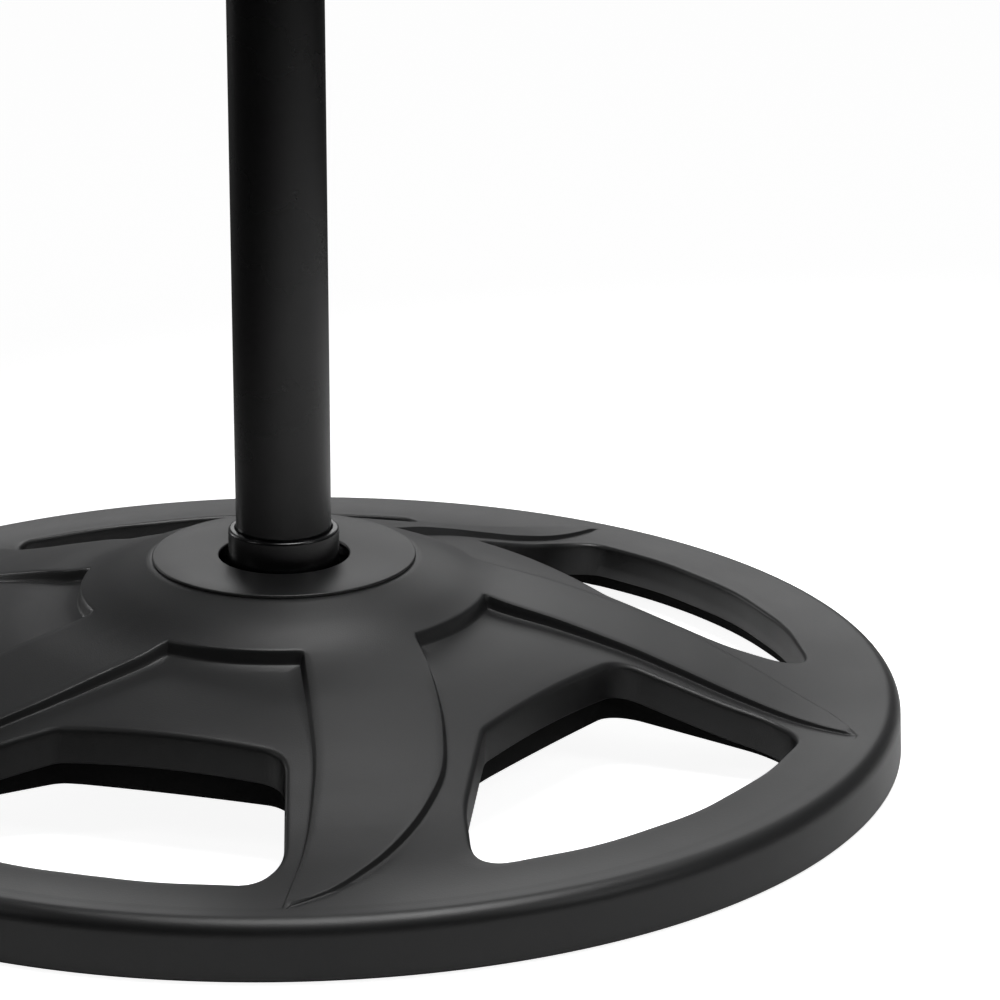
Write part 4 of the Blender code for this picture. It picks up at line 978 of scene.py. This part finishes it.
plate_profile += [(LIP_FOOT_R, plate_low.z + LIP_FOOT_UP)]
plate_profile += [(PLATE_FLAT_R, plate_low.z), (STUD_HOLE_R, plate_low.z)]
rubber_dish = spin_piece("rubber_dish", plate_profile)
moulded_rubber = finish_look("moulded_rubber", (0.010, 0.010, 0.010), (0.018, 0.018, 0.018),
                             smooth=0.62, rough=0.78, grain=(800.0, 0.25, 20.0), scuffs=(30.0, 0.2))
dress(rubber_dish, moulded_rubber, "ball_head", "black_rubber", "ball_plate")

# ==================================================================== ball
# The striking ball: eight gores of grained black synthetic leather, sewn edge to edge over an inflated
# bladder. Each seam sinks between its two swelling gores, with a row of stitches along both sides.
ball_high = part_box("ball_cover")[1]
BALL_R = 0.110
VALVE_R, MOUTH_R = 0.0043, 0.0220
BALL_Z = ball_high.z - math.sqrt(BALL_R ** 2 - VALVE_R ** 2)
MOUTH_A = math.pi - math.asin(MOUTH_R / BALL_R)
VALVE_A = math.asin(VALVE_R / BALL_R)
COVER_T = 0.0035
SKIN_SINK = 0.0006              # leaves room for the stitches inside the ball's full radius
GORES = 8
SEAM_DEPTH, SEAM_SPREAD = 0.0018, 0.0020
STITCHES = 74
STITCH_H, STITCH_SPREAD, STITCH_BESIDE = 0.0005, 0.0008, 0.0042
PLAIN_ENDS, PLAIN_FADE = 0.12, 0.1      # seams and stitches fade out where the gores run together


def ball_points(polar_angle, turn, inset=0.0):
    """The ball's skin: a sphere, sunk by a narrow bell curve of the distance to the nearest seam,
    and dimpled by the stitches in two rows beside it."""
    gore = 2 * math.pi / GORES
    off = ((turn + gore / 2) % gore) - gore / 2
    beside = np.abs(off) * BALL_R * np.sin(polar_angle)
    groove = SEAM_DEPTH * np.exp(-(beside / SEAM_SPREAD) ** 2)
    row = np.exp(-((beside - STITCH_BESIDE) / STITCH_SPREAD) ** 2)
    beat = np.clip(np.cos(polar_angle * STITCHES) * 3, 0, 1)
    far = np.clip((np.sin(polar_angle) - PLAIN_ENDS) / PLAIN_FADE, 0, 1)
    lift = STITCH_H * row * beat * far
    radius = BALL_R - SKIN_SINK - inset + (0.0 if inset else 1.0) * (lift - groove * far)
    level = radius * np.sin(polar_angle)
    return np.stack([level * np.cos(turn), level * np.sin(turn), BALL_Z + radius * np.cos(polar_angle)], -1)


def gore_angles():
    """Angles round the ball, close together at the seams and wider in the middle of a gore."""
    gore = 2 * math.pi / GORES
    off_seam_mm = [0.0, 0.8, 1.6, 2.4, 3.2, 3.7, 4.2, 4.7, 5.2, 6.0, 8.0, 11.0, 15.0, 20.0, 26.0, 33.0]
    side = np.array(off_seam_mm) * 0.001 / BALL_R
    middle = np.linspace(side[-1], gore - side[-1], 8)[1:-1]
    one = np.concatenate([side, middle, (gore - side[:0:-1])])
    return np.concatenate([one + gore * k for k in range(GORES)])


turns = gore_angles()
latitudes = np.linspace(VALVE_A, MOUTH_A, 380)
outer_skin = ball_points(latitudes[:, None], turns[None, :])
inner_skin = ball_points(np.linspace(MOUTH_A, VALVE_A, 24)[:, None], turns[None, :], inset=COVER_T)
sewn_ball = make_piece("sewn_ball", [np.concatenate([outer_skin, inner_skin, outer_skin[:1]])],
                       weld=0.000002, sharp=60.0)


def leather_look():
    """Synthetic leather: small pebbles from a cell pattern, soft creases from noise, and a tone that
    wanders slowly. Both dent the surface through one bump."""
    look = bpy.data.materials.new("pebbled_leather")
    look.use_nodes = True
    tree = look.node_tree
    link = tree.links.new
    shader = tree.nodes["Principled BSDF"]
    shader.inputs["Specular IOR Level"].default_value = 0.5
    place = tree.nodes.new("ShaderNodeTexCoord")
    pebbles = add_node(tree, "ShaderNodeTexVoronoi", feature="DISTANCE_TO_EDGE")
    pebbles.inputs["Scale"].default_value = 620.0
    creases = tree.nodes.new("ShaderNodeTexNoise")
    creases.inputs["Scale"].default_value = 120.0
    creases.inputs["Detail"].default_value = 6.0
    both = add_node(tree, "ShaderNodeMath", operation="MULTIPLY_ADD")
    both.inputs[1].default_value = 0.8
    dent = tree.nodes.new("ShaderNodeBump")
    dent.inputs["Strength"].default_value = 0.35
    dent.inputs["Distance"].default_value = 0.0010
    texture = tree.nodes.new("ShaderNodeGroup")
    texture.node_tree = MOULDED_GRAIN
    texture.inputs["Mottle Scale"].default_value = 16.0
    tone = add_node(tree, "ShaderNodeMix", data_type="RGBA")
    tone.inputs["A"].default_value = (0.010, 0.009, 0.009, 1.0)
    tone.inputs["B"].default_value = (0.024, 0.022, 0.021, 1.0)
    polish = tree.nodes.new("ShaderNodeMapRange")
    polish.inputs["To Min"].default_value = 0.36
    polish.inputs["To Max"].default_value = 0.56
    link(place.outputs["Object"], pebbles.inputs["Vector"])
    link(place.outputs["Object"], creases.inputs["Vector"])
    link(pebbles.outputs["Distance"], both.inputs[0])
    link(creases.outputs["Fac"], both.inputs[2])
    link(both.outputs["Value"], dent.inputs["Height"])
    link(dent.outputs["Normal"], shader.inputs["Normal"])
    link(texture.outputs["Tone"], tone.inputs["Factor"])
    link(tone.outputs["Result"], shader.inputs["Base Color"])
    link(texture.outputs["Tone"], polish.inputs["Value"])
    link(polish.outputs["Result"], shader.inputs["Roughness"])
    return look


dress(sewn_ball, leather_look(), "ball_head", "ball_leather", "ball_cover")

# ==================================================================== small hardware
# What is left is small or shut inside: its own solids are right, and each gets its real finish.
rough_iron = finish_look("rough_cast_iron", (0.06, 0.06, 0.06), (0.13, 0.12, 0.12), smooth=0.60, rough=0.80,
                         metallic=0.8, grain=(500.0, 0.6, 30.0))
turned_brass = finish_look("turned_brass", (0.62, 0.44, 0.16), (0.80, 0.60, 0.26), smooth=0.22, rough=0.36,
                           metallic=1.0, grain=(1500.0, 0.05, 40.0), scuffs=(90.0, 0.0))
red_rubber = finish_look("bladder_rubber", (0.16, 0.03, 0.02), (0.24, 0.06, 0.05), smooth=0.60, rough=0.75,
                         scuffs=(40.0, 0.0))
SLOT_LOOKS = {"moulded_plastic": satin_moulding, "dark_plastic": dull_shade_moulding, "painted_steel": powder_coat,
              "black_rubber": moulded_rubber, "cast_iron": rough_iron, "brass": turned_brass,
              "bladder_rubber": red_rubber, "zinc_steel": zinc_plate}
for part in frame["record"]["subparts"]:
    look = SLOT_LOOKS.get(part["material_slot"])
    holder = frame["nodes"][part["node"]]
    if look:
        holder.data.materials.clear()
        holder.data.materials.append(look)
